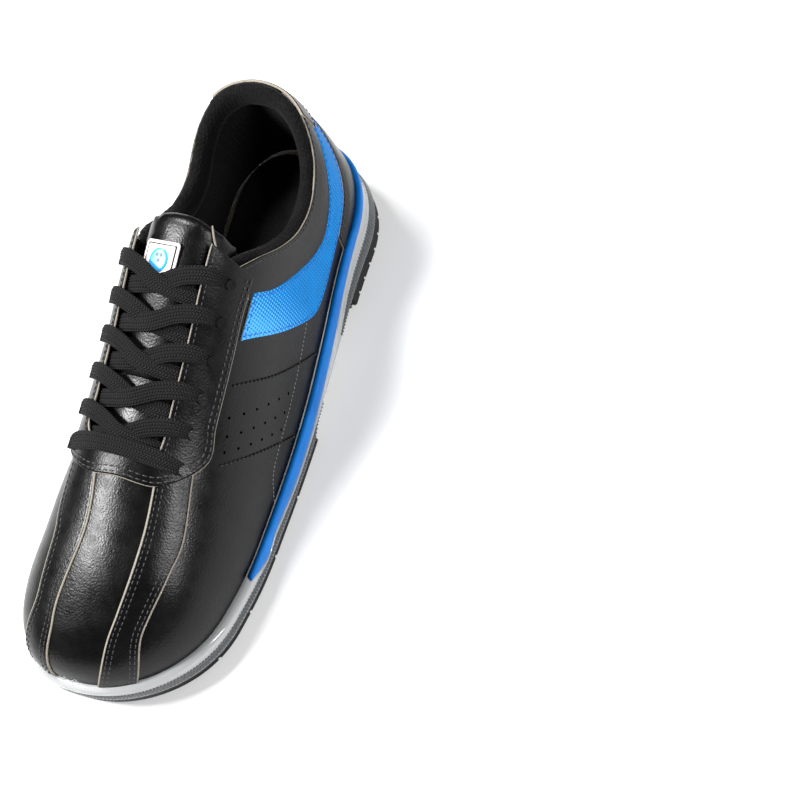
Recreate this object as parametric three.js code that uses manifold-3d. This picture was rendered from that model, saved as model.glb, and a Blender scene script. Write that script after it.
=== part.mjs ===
// Bowling shoe, left foot: a sewn upper on a moulded cup sole, laced through twelve punched holes.
// Millimetres. +Z is up, the toe points to -Y, the outer (lateral) side is +X.
import * as THREE from "three";
import { mergeVertices } from "three/addons/utils/BufferGeometryUtils.js";
import Module from "manifold-3d";

const wasm = await Module();
wasm.setup();

// ---------------------------------------------------------------- driving dimensions
const HALF_LENGTH = 151; // half the sole's length
const GAP = 0.3; // air between pieces that touch
const TREAD = 4; // rubber pads under the forefoot
const HEEL_TREAD = 8; // rubber block under the heel
const FOREFOOT_END = 9; // where the forefoot pad stops, along Y
const HEEL_BREAST = 67; // where the heel block starts, along Y
const UPPER_INSET = 3; // the upper stands this far inside the sole's edge
const FOXING_THICK = 1.6; // blue band in the side wall
const FOXING_TIP = -70; // its pointed front end, along Y
const FIRST_EYELET = -46; // lowest row of lace holes, along Y
const EYELET_STEP = 16.7;
const EYELET_ROWS = 6;
const HOLE_RADIUS = 2.8; // lace holes
const LACE_RADIUS = 1.3;

// Offsets from the outer face of the leather, inwards negative: [inner, outer]
const OVERLAY = [0.7, 1.7];
const PANEL = [-1.9, -0.4];
const STIFFENER = [-3.8, -3.1];
const LINING = [-5.6, -4.4];
const TONGUE = [-9.8, -4.7];

// A smooth curve through [station, value] pairs.
function through(pairs) {
  const slope = (i) => (pairs[i + 1][1] - pairs[i][1]) / (pairs[i + 1][0] - pairs[i][0]);
  const last = pairs.length - 1;
  const tangents = pairs.map((_, i) => {
    if (i === 0) return slope(0);
    if (i === last) return slope(last - 1);
    const before = pairs[i][0] - pairs[i - 1][0];
    const after = pairs[i + 1][0] - pairs[i][0];
    return (slope(i - 1) * after + slope(i) * before) / (before + after);
  });
  return (at) => {
    const x = THREE.MathUtils.clamp(at, pairs[0][0], pairs[last][0]);
    let i = 0;
    while (i < last - 1 && x > pairs[i + 1][0]) i += 1;
    const width = pairs[i + 1][0] - pairs[i][0];
    const s = (x - pairs[i][0]) / width;
    const rise = 3 * s ** 2 - 2 * s ** 3;
    const bend = (s ** 3 - 2 * s ** 2 + s) * width * tangents[i];
    return pairs[i][1] * (1 - rise) + pairs[i + 1][1] * rise + bend
      + (s ** 3 - s ** 2) * width * tangents[i + 1];
  };
}

// The last, station by station from the toe (-151) to the heel (151).
const halfWidth = through([[-151, 50], [-95, 52.5], [-75, 52.5], [-35, 49], [12, 44.5], [50, 41.5],
  [90, 39.5], [118, 39], [151, 39]]);
const middle = through([[-151, -9], [-110, -2], [-75, 2], [-35, 5], [12, 6.5], [50, 5], [90, 2], [151, 0]]);
const featherLine = through([[-151, 26], [-125, 21], [-90, 17.5], [-50, 17.5], [0, 19], [40, 22],
  [80, 27], [120, 32], [151, 35]]);
const toeSpring = through([[-151, 9], [-135, 4.5], [-115, 1.2], [-95, 0], [-85, 0]]);
const groundLine = (y) => Math.max(toeSpring(y), 0);
const ridgeLine = through([[-151, 60], [-120, 62], [-95, 68], [-60, 80], [-30, 91], [0, 105], [30, 121],
  [60, 135], [90, 142], [151, 142]]);
const lean = through([[-151, -4], [-100, -3], [-60, -7], [-20, -8], [20, -5], [60, 0], [151, 0]]);
const fullness = through([[-151, 2.2], [-90, 2.2], [-50, 2.15], [0, 2.45], [40, 2.8], [70, 2.7],
  [100, 2.6], [151, 2.6]]);

// Distances from the ridge of the instep, which narrow towards the ankle.
const ridgeX = (y) => middle(y) + lean(y);
const stayHalf = through([[-50, 38.5], [45, 33]]); // over both lace stays
const eyeletHalf = through([[-50, 31], [45, 28]]); // between the two rows of holes
const throatHalf = through([[-50, 21], [45, 20]]); // between the stays' free edges

// 1 along the middle of the shoe, rounding off to 0 at the toe and at the heel.
function endCap(y, inset, toe, heel) {
  const reach = HALF_LENGTH - inset;
  const t = THREE.MathUtils.clamp((toe.from - y) / (toe.from + reach), 0, 1);
  const h = THREE.MathUtils.clamp((y - heel.from) / (reach - heel.from), 0, 1);
  return (1 - t ** toe.power) ** (1 / toe.power) * (1 - h ** heel.power) ** (1 / heel.power);
}
const PLAN_TOE = { from: -95, power: 2.2 };
const PLAN_HEEL = { from: 108, power: 2.2 };
const TOP_TOE = { from: -88, power: 2.2 };
const TOP_HEEL = { from: 100, power: 3.2 };
const planHalf = (y, inset) => (halfWidth(y) - inset) * endCap(y, inset, PLAN_TOE, PLAN_HEEL);
const upperHeight = (y) => (ridgeLine(y) - featherLine(y)) * endCap(y, UPPER_INSET, TOP_TOE, TOP_HEEL);

// ---------------------------------------------------------------- the upper's outer face
// Below 0 inside the upper, above 0 outside.
function outside(p) {
  if (Math.abs(p.y) > HALF_LENGTH - UPPER_INSET - 0.05) return 9;
  const height = Math.max((p.z - featherLine(p.y)) / upperHeight(p.y), 0);
  const across = (p.x - middle(p.y) - lean(p.y) * height) / planHalf(p.y, UPPER_INSET);
  const n = fullness(p.y);
  return Math.abs(across) ** n + height ** n - 1;
}

// The point of the outer face straight outwards from the shoe's core through a guide point.
function press(guide) {
  const y = THREE.MathUtils.clamp(guide.y, -104, 112);
  const core = new THREE.Vector3(middle(y) + lean(y) * 0.3, y, THREE.MathUtils.lerp(featherLine(y), ridgeLine(y), 0.25));
  const ray = guide.clone().sub(core).normalize();
  let near = 0;
  let far = 160;
  for (let step = 0; step < 26; step += 1) {
    const mid = (near + far) / 2;
    if (outside(core.clone().addScaledVector(ray, mid)) > 0) far = mid;
    else near = mid;
  }
  return core.addScaledVector(ray, near);
}

function faceNormal(p) {
  const step = 0.4;
  const slope = (dx, dy, dz) =>
    Math.min(outside(new THREE.Vector3(p.x + dx, p.y + dy, p.z + dz)), 3)
    - Math.min(outside(new THREE.Vector3(p.x - dx, p.y - dy, p.z - dz)), 3);
  const n = new THREE.Vector3(slope(step, 0, 0), slope(0, step, 0), slope(0, 0, step));
  return n.normalize();
}

// Guide points: on a side wall at a station and a height, or on the top at a place in plan.
function wall(side, y, z) {
  const height = Math.max((z - featherLine(y)) / upperHeight(y), 0);
  const n = fullness(y);
  const across = (1 - Math.min(height, 0.999) ** n) ** (1 / n);
  return new THREE.Vector3(middle(y) + lean(y) * height + side * planHalf(y, UPPER_INSET) * across, y, z);
}
const edge = (side, y, lift = 0.8) => wall(side, y, featherLine(y) + lift);
const LATERAL = 1;
const MEDIAL = -1;
const SIDES = [[LATERAL, "lateral"], [MEDIAL, "medial"]];
function top(x, y) {
  const n = fullness(y);
  let height = 0.9;
  for (let pass = 0; pass < 8; pass += 1) {
    const across = (x - middle(y) - lean(y) * height) / planHalf(y, UPPER_INSET);
    height = (1 - Math.min(Math.abs(across), 0.995) ** n) ** (1 / n);
  }
  return new THREE.Vector3(x, y, featherLine(y) + upperHeight(y) * height);
}

// ---------------------------------------------------------------- turning guides into solids
const smooth = (points, count, closed = false) => {
  const curve = new THREE.CatmullRomCurve3(points, closed, "catmullrom", 0.5);
  return Array.from({ length: count + 1 }, (_, i) => curve.getPoint(i / count));
};

// Two skins on one grid of points, joined round the rim (or round both loops of a ring).
function skins(inner, outer, ring) {
  const rows = inner.length;
  const cols = inner[0].length;
  const at = (layer, r, c) => layer * rows * cols + r * cols + (ring ? c % cols : c);
  const quads = [];
  const wide = ring ? cols : cols - 1;
  for (let c = 0; c < wide; c += 1) {
    for (let r = 0; r < rows - 1; r += 1) {
      quads.push([at(1, r, c), at(1, r, c + 1), at(1, r + 1, c + 1), at(1, r + 1, c)]);
      quads.push([at(0, r, c), at(0, r + 1, c), at(0, r + 1, c + 1), at(0, r, c + 1)]);
    }
    quads.push([at(0, 0, c), at(0, 0, c + 1), at(1, 0, c + 1), at(1, 0, c)]);
    quads.push([at(1, rows - 1, c), at(1, rows - 1, c + 1), at(0, rows - 1, c + 1), at(0, rows - 1, c)]);
  }
  for (let r = 0; !ring && r < rows - 1; r += 1) {
    quads.push([at(1, r, 0), at(1, r + 1, 0), at(0, r + 1, 0), at(0, r, 0)]);
    quads.push([at(0, r, cols - 1), at(0, r + 1, cols - 1), at(1, r + 1, cols - 1), at(1, r, cols - 1)]);
  }
  const points = [...inner.flat(), ...outer.flat()];
  return closedGeometry(points, quads.flatMap(([a, b, c, d]) => [a, b, c, a, c, d]));
}

function signedVolume(points, index) {
  let sum = 0;
  for (let i = 0; i < index.length; i += 3) {
    sum += points[index[i]].dot(points[index[i + 1]].clone().cross(points[index[i + 2]])) / 6;
  }
  return sum;
}

function closedGeometry(points, index) {
  if (signedVolume(points, index) < 0) index.reverse();
  const geometry = new THREE.BufferGeometry().setFromPoints(points);
  geometry.setIndex(index);
  return geometry;
}

// A panel ruled between two guide lines, pressed onto the last and given a thickness.
function panel(first, second, cols, rows, [inner, outer], ring = false) {
  const a = smooth(first, cols, ring);
  const b = smooth(second, cols, ring);
  const grid = [];
  for (let r = 0; r <= rows; r += 1) {
    const line = a.map((p, i) => press(p.clone().lerp(b[i], r / rows)));
    grid.push(ring ? line.slice(0, -1) : line);
  }
  const shifted = (by) => grid.map((line) => line.map((p) => p.clone().addScaledVector(faceNormal(p), by)));
  return skins(shifted(inner), shifted(outer), ring);
}

// ---------------------------------------------------------------- cutting and joining
function solidOf(geometry) {
  const plain = geometry.clone();
  plain.deleteAttribute("normal");
  plain.deleteAttribute("uv");
  const merged = mergeVertices(plain, 1e-4);
  return new wasm.Manifold(new wasm.Mesh({
    numProp: 3,
    vertProperties: new Float32Array(merged.attributes.position.array),
    triVerts: new Uint32Array(merged.index.array),
  }));
}
function geometryOf(solid) {
  const mesh = solid.getMesh();
  const geometry = new THREE.BufferGeometry();
  geometry.setAttribute("position", new THREE.BufferAttribute(new Float32Array(mesh.vertProperties), 3));
  geometry.setIndex(Array.from(mesh.triVerts));
  return geometry;
}

// ---------------------------------------------------------------- layers of the sole
const STATIONS = 20; // along each side of an outline
const stationAt = (i, inset) => -(HALF_LENGTH - inset) * Math.cos((Math.PI * i) / STATIONS);

function soleOutline(inset) {
  const points = [];
  for (let i = 0; i <= STATIONS; i += 1) {
    const y = stationAt(i, inset);
    points.push(new THREE.Vector2(middle(y) + planHalf(y, inset), y));
  }
  for (let i = STATIONS - 1; i > 0; i -= 1) {
    const y = stationAt(i, inset);
    points.push(new THREE.Vector2(middle(y) - planHalf(y, inset), y));
  }
  return new THREE.Shape(points);
}
const prism = (shape, low, high) =>
  solidOf(new THREE.ExtrudeGeometry(shape, { depth: high - low, bevelEnabled: false }).translate(0, 0, low));

// A profile without the points that lie on a straight run, which would split no face.
function bendsOnly(points) {
  return points.filter((p, i) => {
    const before = points[(i + points.length - 1) % points.length];
    const after = points[(i + 1) % points.length];
    return Math.abs((p[0] - before[0]) * (after[1] - p[1]) - (p[1] - before[1]) * (after[0] - p[0])) > 1e-3;
  });
}

// Everything between two heights that vary along Y, 140 mm wide.
function between(low, high, from = -160, to = 160, steps = 26) {
  const ys = Array.from({ length: steps + 1 }, (_, i) => from + ((to - from) * i) / steps);
  const profile = [...ys.map((y) => [y, low(y)]), ...ys.reverse().map((y) => [y, high(y)])];
  const shape = new THREE.Shape(bendsOnly(profile).map(([y, z]) => new THREE.Vector2(y, z)));
  const slab = new THREE.ExtrudeGeometry(shape, { depth: 140, bevelEnabled: false });
  slab.applyMatrix4(new THREE.Matrix4().makeBasis(
    new THREE.Vector3(0, 1, 0), new THREE.Vector3(0, 0, 1), new THREE.Vector3(1, 0, 0)));
  return solidOf(slab.translate(-70, 0, 0));
}
const plan = (points) => new THREE.Shape(points.map(([x, y]) => new THREE.Vector2(x, y)));
const soleTop = (y) => groundLine(y) + TREAD;
const foxingLow = through([[-160, 40], [FOXING_TIP - 8, 32], [FOXING_TIP, 15.4], [-50, 11], [-20, 9.6], [12, 11.4],
  [40, 14], [80, 20.5], [110, 26], [151, 30.5]]);
const pocketFloor = through([[-151, 16.5], [-115, 9], [-50, 8], [0, 9], [40, 12.5], [80, 15], [151, 20]]);
const archLine = through([[FOREFOOT_END - 4, TREAD + 0.6], [FOREFOOT_END + 2, 6.6], [20, 7.7], [35, 8], [58, 8.2],
  [HEEL_BREAST, HEEL_TREAD + GAP], [HEEL_BREAST + 12, HEEL_TREAD + GAP]]);
const cupBottom = (y) => (y < FOREFOOT_END - 4 ? soleTop(y) + 0.5 : archLine(y));

function clearSole() {
  const full = prism(soleOutline(0), -2, 60);
  const core = prism(soleOutline(FOXING_THICK + GAP), -2, 60);
  const lower = full.intersect(between(cupBottom, (y) => Math.min(foxingLow(y) - GAP, featherLine(y))));
  const whole = lower.add(core.intersect(between(cupBottom, featherLine)));
  return whole.subtract(prism(soleOutline(6), -2, 60).intersect(between(pocketFloor, () => 70)));
}

function foxingBand() {
  const ring = prism(soleOutline(0), -2, 60).subtract(prism(soleOutline(FOXING_THICK), -3, 61));
  return ring.intersect(between((y) => Math.min(foxingLow(y), 60), (y) => featherLine(y) - GAP / 2, FOXING_TIP));
}

// Blue inserts of the forefoot pad, in plan.
const toeInsertPlan = () => {
  const shape = new THREE.Shape();
  shape.moveTo(2, -34);
  shape.lineTo(24, -106);
  shape.bezierCurveTo(30, -126, 18, -138, 0, -140);
  shape.bezierCurveTo(-22, -141, -34, -126, -27, -106);
  shape.closePath();
  return shape;
};
const rearInsertPlan = (side) => {
  const x = (value) => side * value + middle(-20);
  const shape = new THREE.Shape();
  shape.moveTo(x(9), -2);
  shape.lineTo(x(31), -6);
  shape.bezierCurveTo(x(37), -14, x(41), -38, x(40), -66);
  shape.bezierCurveTo(x(33), -48, x(20), -22, x(9), -2);
  return shape;
};
const shrink = (shape, points, by) => {
  const outline = shape.getPoints(points);
  const centre = outline.reduce((sum, p) => sum.add(p), new THREE.Vector2()).divideScalar(outline.length);
  return new THREE.Shape(outline.map((p) => p.clone().sub(centre).multiplyScalar(1 - by).add(centre)));
};
const padSlab = () => between(groundLine, soleTop, -160, FOREFOOT_END, 16);
const insertPockets = () => [toeInsertPlan(), rearInsertPlan(LATERAL), rearInsertPlan(MEDIAL)];

function forefootTread() {
  let pad = prism(soleOutline(1.5), -2, 30).intersect(padSlab());
  for (const shape of insertPockets()) pad = pad.subtract(prism(shrink(shape, 7, 0), -3, 30));
  return pad;
}
const forefootInsert = (shape) => prism(shrink(shape, 7, 0.03), -3, 30).intersect(padSlab());

// The heel block has a straight breast, cut corners and two blue inserts.
const heelInsertPlan = (side) =>
  plan([[side * 9, 84], [side * 27, 78], [side * 31, 104], [side * 12, 132]].map(([x, y]) => [x + 1, y]));
function heelTread() {
  const outline = prism(soleOutline(1.5), 0, HEEL_TREAD);
  const block = plan([[-26, HEEL_BREAST], [28, HEEL_BREAST], [60, HEEL_BREAST + 16], [60, 160], [-60, 160],
    [-60, HEEL_BREAST + 16]]);
  let heel = outline.intersect(prism(block, -1, 20));
  for (const [side] of SIDES) heel = heel.subtract(prism(shrink(heelInsertPlan(side), 1, 0), -2, 5));
  return heel.subtract(prism(plan([[-4, 88], [6, 88], [6, 122], [-4, 122]]), -2, 3));
}
const heelInsert = (side) => prism(shrink(heelInsertPlan(side), 1, 0.04), 0.4, 5 - GAP);

const roundedSquare = (w, h, r, cx, cy) => {
  const shape = new THREE.Shape();
  const corners = [[w / 2 - r, h / 2 - r, 0], [r - w / 2, h / 2 - r, 1], [r - w / 2, r - h / 2, 2],
    [w / 2 - r, r - h / 2, 3]];
  for (const [x, y, turn] of corners) {
    shape.absarc(cx + x, cy + y, r, (turn * Math.PI) / 2, ((turn + 1) * Math.PI) / 2, false);
  }
  return shape;
};
const WINDOW = { x: 6, y: 38, low: 5.8, high: 7.3 };
function shankWindow() {
  const frame = prism(new THREE.Shape(roundedSquare(32, 27, 5, WINDOW.x, WINDOW.y).getPoints(4)), WINDOW.low, WINDOW.high);
  const hole = new THREE.Shape(roundedSquare(24, 20, 3, WINDOW.x, WINDOW.y).getPoints(4));
  return frame.subtract(prism(hole, 0, 20));
}
const shankBadge = () =>
  prism(new THREE.Shape(roundedSquare(19, 17, 1.5, WINDOW.x, WINDOW.y).getPoints(2)), 6.5, WINDOW.high);

// ---------------------------------------------------------------- inside the cup
const midsoleTop = (y) => featherLine(y) - 5.3;
const SHANK = { low: 14.6, high: 15.8, half: 8, from: 0, to: 70 };
const shankOutline = (grow) => plan([[SHANK.half, SHANK.from], [SHANK.half, SHANK.to], [-SHANK.half, SHANK.to],
  [-SHANK.half, SHANK.from]].map(([x, y]) => [x * (1 + grow) + 5, y + (y > 30 ? 1 : -1) * grow * 4]));
const shankHeight = (y) => featherLine(y) - 6.9;
function midsole() {
  const fill = prism(soleOutline(6 + GAP), 0, 60).intersect(between((y) => pocketFloor(y) + GAP, midsoleTop));
  const groove = prism(shankOutline(0.06), 0, 60).intersect(between((y) => shankHeight(y) - GAP, () => 70));
  return fill.subtract(groove);
}
const shankPlate = () => prism(shankOutline(0), 0, 60)
  .intersect(between(shankHeight, (y) => shankHeight(y) + SHANK.high - SHANK.low));
const insoleBoard = () => prism(soleOutline(6.5), 0, 60)
  .intersect(between((y) => featherLine(y) - 5, (y) => featherLine(y) - 3.2));
const footbed = () => prism(soleOutline(12.5), 0, 60)
  .intersect(between((y) => featherLine(y) - 2.9, (y) => featherLine(y) + 1.1));

// ---------------------------------------------------------------- lines of the upper
// Stations and heights of the lines that the pattern pieces follow on each side.
const COLLAR = [[56, 105], [70, 88], [84, 77], [100, 76], [118, 86], [134, 98], [143, 102]];
const STRAP_TOP = [[43, 89], [50, 82], [65, 70], [80, 59], [93, 55], [106, 60], [118, 71], [128, 81], [136, 89]];
const STRAP_LOW = [[22, 79], [38, 61], [56, 42], [70, 38], [86, 39], [104, 43], [120, 52], [131, 64], [140, 82]];
const line = (side, pairs, shift = 0) => pairs.map(([y, z]) => wall(side, y, z + shift));
const HEEL_LOW = featherLine(HALF_LENGTH) + 2.2; // leather edge at the back
const HEEL_LIFT = 1.4; // and beside it, above the feather line
// The middle of the heel at a height, found by halving the interval.
function heelBack(z) {
  let near = 112;
  let far = HALF_LENGTH;
  for (let step = 0; step < 26; step += 1) {
    const y = (near + far) / 2;
    if (outside(new THREE.Vector3(middle(y), y, z)) > 0) far = y;
    else near = y;
  }
  return new THREE.Vector3(middle(near), near, z);
}

const seamPlug = { medial: [[-13, -56], [-10, -75], [-11, -93], [-17, -120], [-18, -134]],
  lateral: [[18, -54], [19, -75], [18, -95], [13, -120], [8, -134]] };
const seamBand = { medial: [[-32, -55], [-30, -75], [-28, -90], [-29, -110], [-31, -124]],
  lateral: [[35, -52], [34, -75], [32, -93], [26, -114], [24, -126]] };
const seam = (pairs, shift = 0) => pairs.map(([x, y]) => top(x + shift, y));

// A seam carried over the toe to the sole's edge.
function toToe(pairs, side, y, shift = 0) {
  return [...seam(pairs, shift), edge(side, y)];
}

const eyelet = (side, row) => {
  const y = FIRST_EYELET + row * EYELET_STEP;
  return top(ridgeX(y) + side * eyeletHalf(y), y);
};

function eyestayGuides() {
  const halfWay = (side, half) => Array.from({ length: EYELET_ROWS }, (_, i) => {
    const y = FIRST_EYELET + (EYELET_ROWS - 1 - i) * EYELET_STEP + 8;
    return top(ridgeX(y) + side * half(y), y);
  });
  const inner = [...halfWay(MEDIAL, throatHalf), top(-14, -46), top(0, -47), top(15, -45),
    ...halfWay(LATERAL, throatHalf).reverse()];
  const outer = [...halfWay(MEDIAL, stayHalf), top(-22, -58), top(0, -59), top(21, -57),
    ...halfWay(LATERAL, stayHalf).reverse()];
  return { inner, outer };
}

function eyestay() {
  const { inner, outer } = eyestayGuides();
  let stay = solidOf(panel(inner, outer, 40, 3, OVERLAY));
  for (const [side] of SIDES) {
    for (let row = 0; row < EYELET_ROWS; row += 1) {
      const at = eyelet(side, row);
      const hole = new THREE.CylinderGeometry(HOLE_RADIUS, HOLE_RADIUS, 10, 8);
      hole.applyQuaternion(new THREE.Quaternion().setFromUnitVectors(new THREE.Vector3(0, 1, 0), faceNormal(at)));
      stay = stay.subtract(solidOf(hole.translate(at.x, at.y, at.z)));
    }
  }
  return stay;
}

// ---------------------------------------------------------------- pieces of the upper
const QUARTER_FRONT = -60;
function quarter(side) {
  const low = [];
  for (const y of [QUARTER_FRONT, -30, 0, 30, 60, 90, 118, 136, 145]) low.push(edge(side, y));
  const underStay = [-50, -32, -14, 4, 24].map((y) => top(ridgeX(y) + side * (stayHalf(y) - 2), y));
  const high = [...underStay, ...line(side, [[58, 92], [88, 73], [114, 82], [134, 94]])];
  return panel(low, high, 18, 5, PANEL);
}

function vampSide(side) {
  const which = side === LATERAL ? "lateral" : "medial";
  const gap = side * 0.9;
  const inner = toToe(seamBand[which], side, side === LATERAL ? -142 : -141, gap);
  const outer = [QUARTER_FRONT - 1.5, -80, -100, -118, -129, -138].map((y) => edge(side, y));
  return panel(outer, inner, 10, 4, PANEL);
}

function vampPlug() {
  return panel(toToe(seamPlug.medial, MEDIAL, -146.5), toToe(seamPlug.lateral, LATERAL, -147), 12, 4, PANEL);
}
function vampBand(side) {
  const which = side === LATERAL ? "lateral" : "medial";
  const ends = side === LATERAL ? [-146, -143] : [-145.5, -142];
  return panel(toToe(seamPlug[which], side, ends[0], side * 0.9), toToe(seamBand[which], side, ends[1], 0), 12, 2, PANEL);
}

const strap = (side) => panel(line(side, STRAP_TOP), line(side, STRAP_LOW), 16, 2, OVERLAY);
function collarPanel(side) {
  const high = COLLAR.map(([y, z]) => wall(side, y, z));
  const low = [[49, 92], [65, 73.5], [80, 62], [93, 58], [108, 64], [124, 81], [134, 92]];
  return panel(high, line(side, low), 14, 2, OVERLAY);
}
function heelCover() {
  const low = [edge(LATERAL, 100), edge(LATERAL, 128, HEEL_LIFT), edge(LATERAL, 142, HEEL_LIFT), heelBack(HEEL_LOW),
    edge(MEDIAL, 142, HEEL_LIFT), edge(MEDIAL, 128, HEEL_LIFT), edge(MEDIAL, 100)];
  const high = [wall(LATERAL, 100, 39.5), wall(LATERAL, 124, 51.5), heelBack(80), wall(MEDIAL, 124, 51.5), wall(MEDIAL, 100, 39.5)];
  return panel(low, high, 14, 4, OVERLAY);
}
function heelTab() {
  const low = [wall(LATERAL, 139, 92), heelBack(84), wall(MEDIAL, 139, 92)];
  const high = [wall(LATERAL, 144, 103), heelBack(103), wall(MEDIAL, 144, 103)];
  return panel(low, high, 6, 2, OVERLAY);
}

// Stiffeners between the leather and the lining.
function toePuff() {
  const low = [edge(LATERAL, -96), edge(LATERAL, -128), edge(LATERAL, -146), edge(MEDIAL, -146), edge(MEDIAL, -128),
    edge(MEDIAL, -96)];
  const high = [wall(LATERAL, -98, 46), top(18, -108), top(4, -112), top(-8, -112), top(-22, -108), wall(MEDIAL, -98, 46)];
  return panel(low, high, 24, 5, STIFFENER);
}
function heelCounter() {
  const low = [edge(LATERAL, 70), edge(LATERAL, 118), edge(LATERAL, 140), heelBack(HEEL_LOW), edge(MEDIAL, 140),
    edge(MEDIAL, 118), edge(MEDIAL, 70)];
  const high = [wall(LATERAL, 84, 48), wall(LATERAL, 120, 66), heelBack(74), wall(MEDIAL, 120, 66), wall(MEDIAL, 84, 48)];
  return panel(low, high, 26, 4, STIFFENER);
}

// The lining is one ring between the sole's edge and the opening for the foot.
function lining() {
  const stations = [143, 118, 90, 60, 28, -4, -34, -64, -96, -124, -142];
  const low = [heelBack(HEEL_LOW), ...stations.map((y) => edge(LATERAL, y)),
    press(new THREE.Vector3(middle(-150), -160, featherLine(-148) + 1)),
    ...stations.reverse().map((y) => edge(MEDIAL, y))];
  const side = (s) => [...line(s, [[143, 98], [118, 82], [94, 73], [72, 82], [50, 96]]),
    ...[22, -6, -32].map((y) => top(ridgeX(y) + s * (stayHalf(y) - 1.5), y))];
  const front = [top(30, -56), top(18, -61), top(8, -63)];
  const high = [heelBack(100), ...side(LATERAL), ...front, top(-3, -63.5),
    top(-12, -63), top(-20, -61), top(-31, -57), ...side(MEDIAL).reverse()];
  return panel(low, high, 48, 5, LINING, true);
}

// ---------------------------------------------------------------- tongue, padding and lace
const tongueEdge = (side) => [[-53, 22], [-30, 24], [0, 25], [26, 26], [44, 26], [53, 23]]
  .map(([y, half]) => top(ridgeX(y) + side * half, y));
const tongue = () => panel(tongueEdge(MEDIAL), tongueEdge(LATERAL), 12, 6, TONGUE);
const patch = (y0, y1, half, [inner, outer], cols = 3) => {
  const across = (y) => [-1, 0, 1].map((s) => top(ridgeX(y) + s * half, y));
  return panel(across(y0), across(y1), cols + 1, cols, [inner, outer]);
};

function collarPadding() {
  const deep = (side) => [[62, 93], [74, 79], [88, 70], [104, 71], [120, 81], [134, 92]]
    .map(([y, z]) => wall(side, y, z));
  const route = [...deep(LATERAL), heelBack(96), ...deep(MEDIAL).reverse()]
    .map((p) => p.clone().addScaledVector(faceNormal(p), -11.4));
  return tube(route, 4.4, 34, 8);
}

function tube(route, radius, steps, sides) {
  const curve = new THREE.CatmullRomCurve3(route, false, "catmullrom", 0.5);
  const section = new THREE.Shape(Array.from({ length: sides }, (_, i) => {
    const turn = (2 * Math.PI * i) / sides;
    return new THREE.Vector2(radius * Math.cos(turn), radius * Math.sin(turn));
  }));
  return new THREE.ExtrudeGeometry(section, { steps, bevelEnabled: false, extrudePath: curve });
}

// A point above (or below) the leather, across the instep: x from the ridge, y along the shoe.
function overInstep(x, y, lift) {
  const base = top(ridgeX(y) + x, y);
  return base.clone().addScaledVector(faceNormal(base), lift);
}

// One half of the lacing: from the hole of the lowest row, up, crossing from side to side.
function laceHalf(start, high) {
  const points = [];
  let side = start;
  for (let row = 0; row < EYELET_ROWS; row += 1) {
    const y = FIRST_EYELET + row * EYELET_STEP;
    const up = y + EYELET_STEP;
    const hole = eyeletHalf(y);
    points.push(overInstep(side * hole, y, 0.6), overInstep(side * (hole - 2.5), y + 2, -2.2));
    if (row === EYELET_ROWS - 1) break;
    points.push(overInstep(side * (throatHalf(y) + 2), y + 4, -2.3), overInstep(side * 14, y + 6, high ? -0.6 : -2));
    points.push(overInstep(0, y + EYELET_STEP / 2, high ? 2.2 : -1.9));
    points.push(overInstep(-side * 12, up - 4, 1.2), overInstep(-side * (throatHalf(up) + 0.5), up - 1.5, 3.9));
    points.push(overInstep(-side * (eyeletHalf(up) - 1.2), up, 3.7));
    side = -side;
  }
  const y = FIRST_EYELET + (EYELET_ROWS - 1) * EYELET_STEP;
  points.push(overInstep(side * (eyeletHalf(y) - 1), y + 9, -2.4));
  return points;
}
function lace() {
  const hole = eyeletHalf(FIRST_EYELET) - 1.2;
  const bar = [-hole, -throatHalf(FIRST_EYELET), -8, 8, throatHalf(FIRST_EYELET), hole]
    .map((x) => overInstep(x, FIRST_EYELET, 3.8));
  const route = [...laceHalf(MEDIAL, false).reverse(), ...bar, ...laceHalf(LATERAL, true)];
  return tube(route, LACE_RADIUS, route.length * 2, 6);
}

// ---------------------------------------------------------------- finishes and assembly
const finish = (color, roughness, metalness = 0) => new THREE.MeshStandardMaterial({ color, roughness, metalness });
const LEATHER = finish(0x101012, 0.38);
const BLUE = finish(0x0a82e6, 0.45);
const BLUE_RUBBER = finish(0x0a50f0, 0.55);
const RUBBER = finish(0x1a1a1c, 0.7);
const CLEAR = finish(0xd8dcdc, 0.15);
const KNIT = finish(0x161616, 0.95);
const FOAM = finish(0xe6e2da, 0.9);
const BOARD = finish(0xa08c6e, 0.9);

const pieces = [
  ["clear_sole", geometryOf(clearSole()), CLEAR],
  ["foxing_band", geometryOf(foxingBand()), BLUE],
  ["forefoot_tread", geometryOf(forefootTread()), RUBBER],
  ["toe_insert", geometryOf(forefootInsert(toeInsertPlan())), BLUE_RUBBER],
  ["heel_tread", geometryOf(heelTread()), RUBBER],
  ["shank_window", geometryOf(shankWindow()), CLEAR],
  ["shank_badge", geometryOf(shankBadge()), FOAM],
  ["midsole", geometryOf(midsole()), FOAM],
  ["shank_plate", geometryOf(shankPlate()), finish(0x8a8f92, 0.4, 0.9)],
  ["insole_board", geometryOf(insoleBoard()), BOARD],
  ["footbed", geometryOf(footbed()), KNIT],
  ["lining", lining(), KNIT],
  ["toe_puff", toePuff(), BOARD],
  ["heel_counter", heelCounter(), BOARD],
  ["vamp_plug", vampPlug(), LEATHER],
  ["eyestay", geometryOf(eyestay()), LEATHER],
  ["heel_cover", heelCover(), LEATHER],
  ["heel_tab", heelTab(), LEATHER],
  ["collar_padding", collarPadding(), KNIT],
  ["tongue", tongue(), KNIT],
  ["tongue_badge", patch(31, 45, 9.5, [-4.4, -3.3]), FOAM],
  ["lace_keeper", patch(-14, -5, 12, [-4.4, -3.9]), LEATHER],
  ["lace", lace(), KNIT],
];
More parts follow.
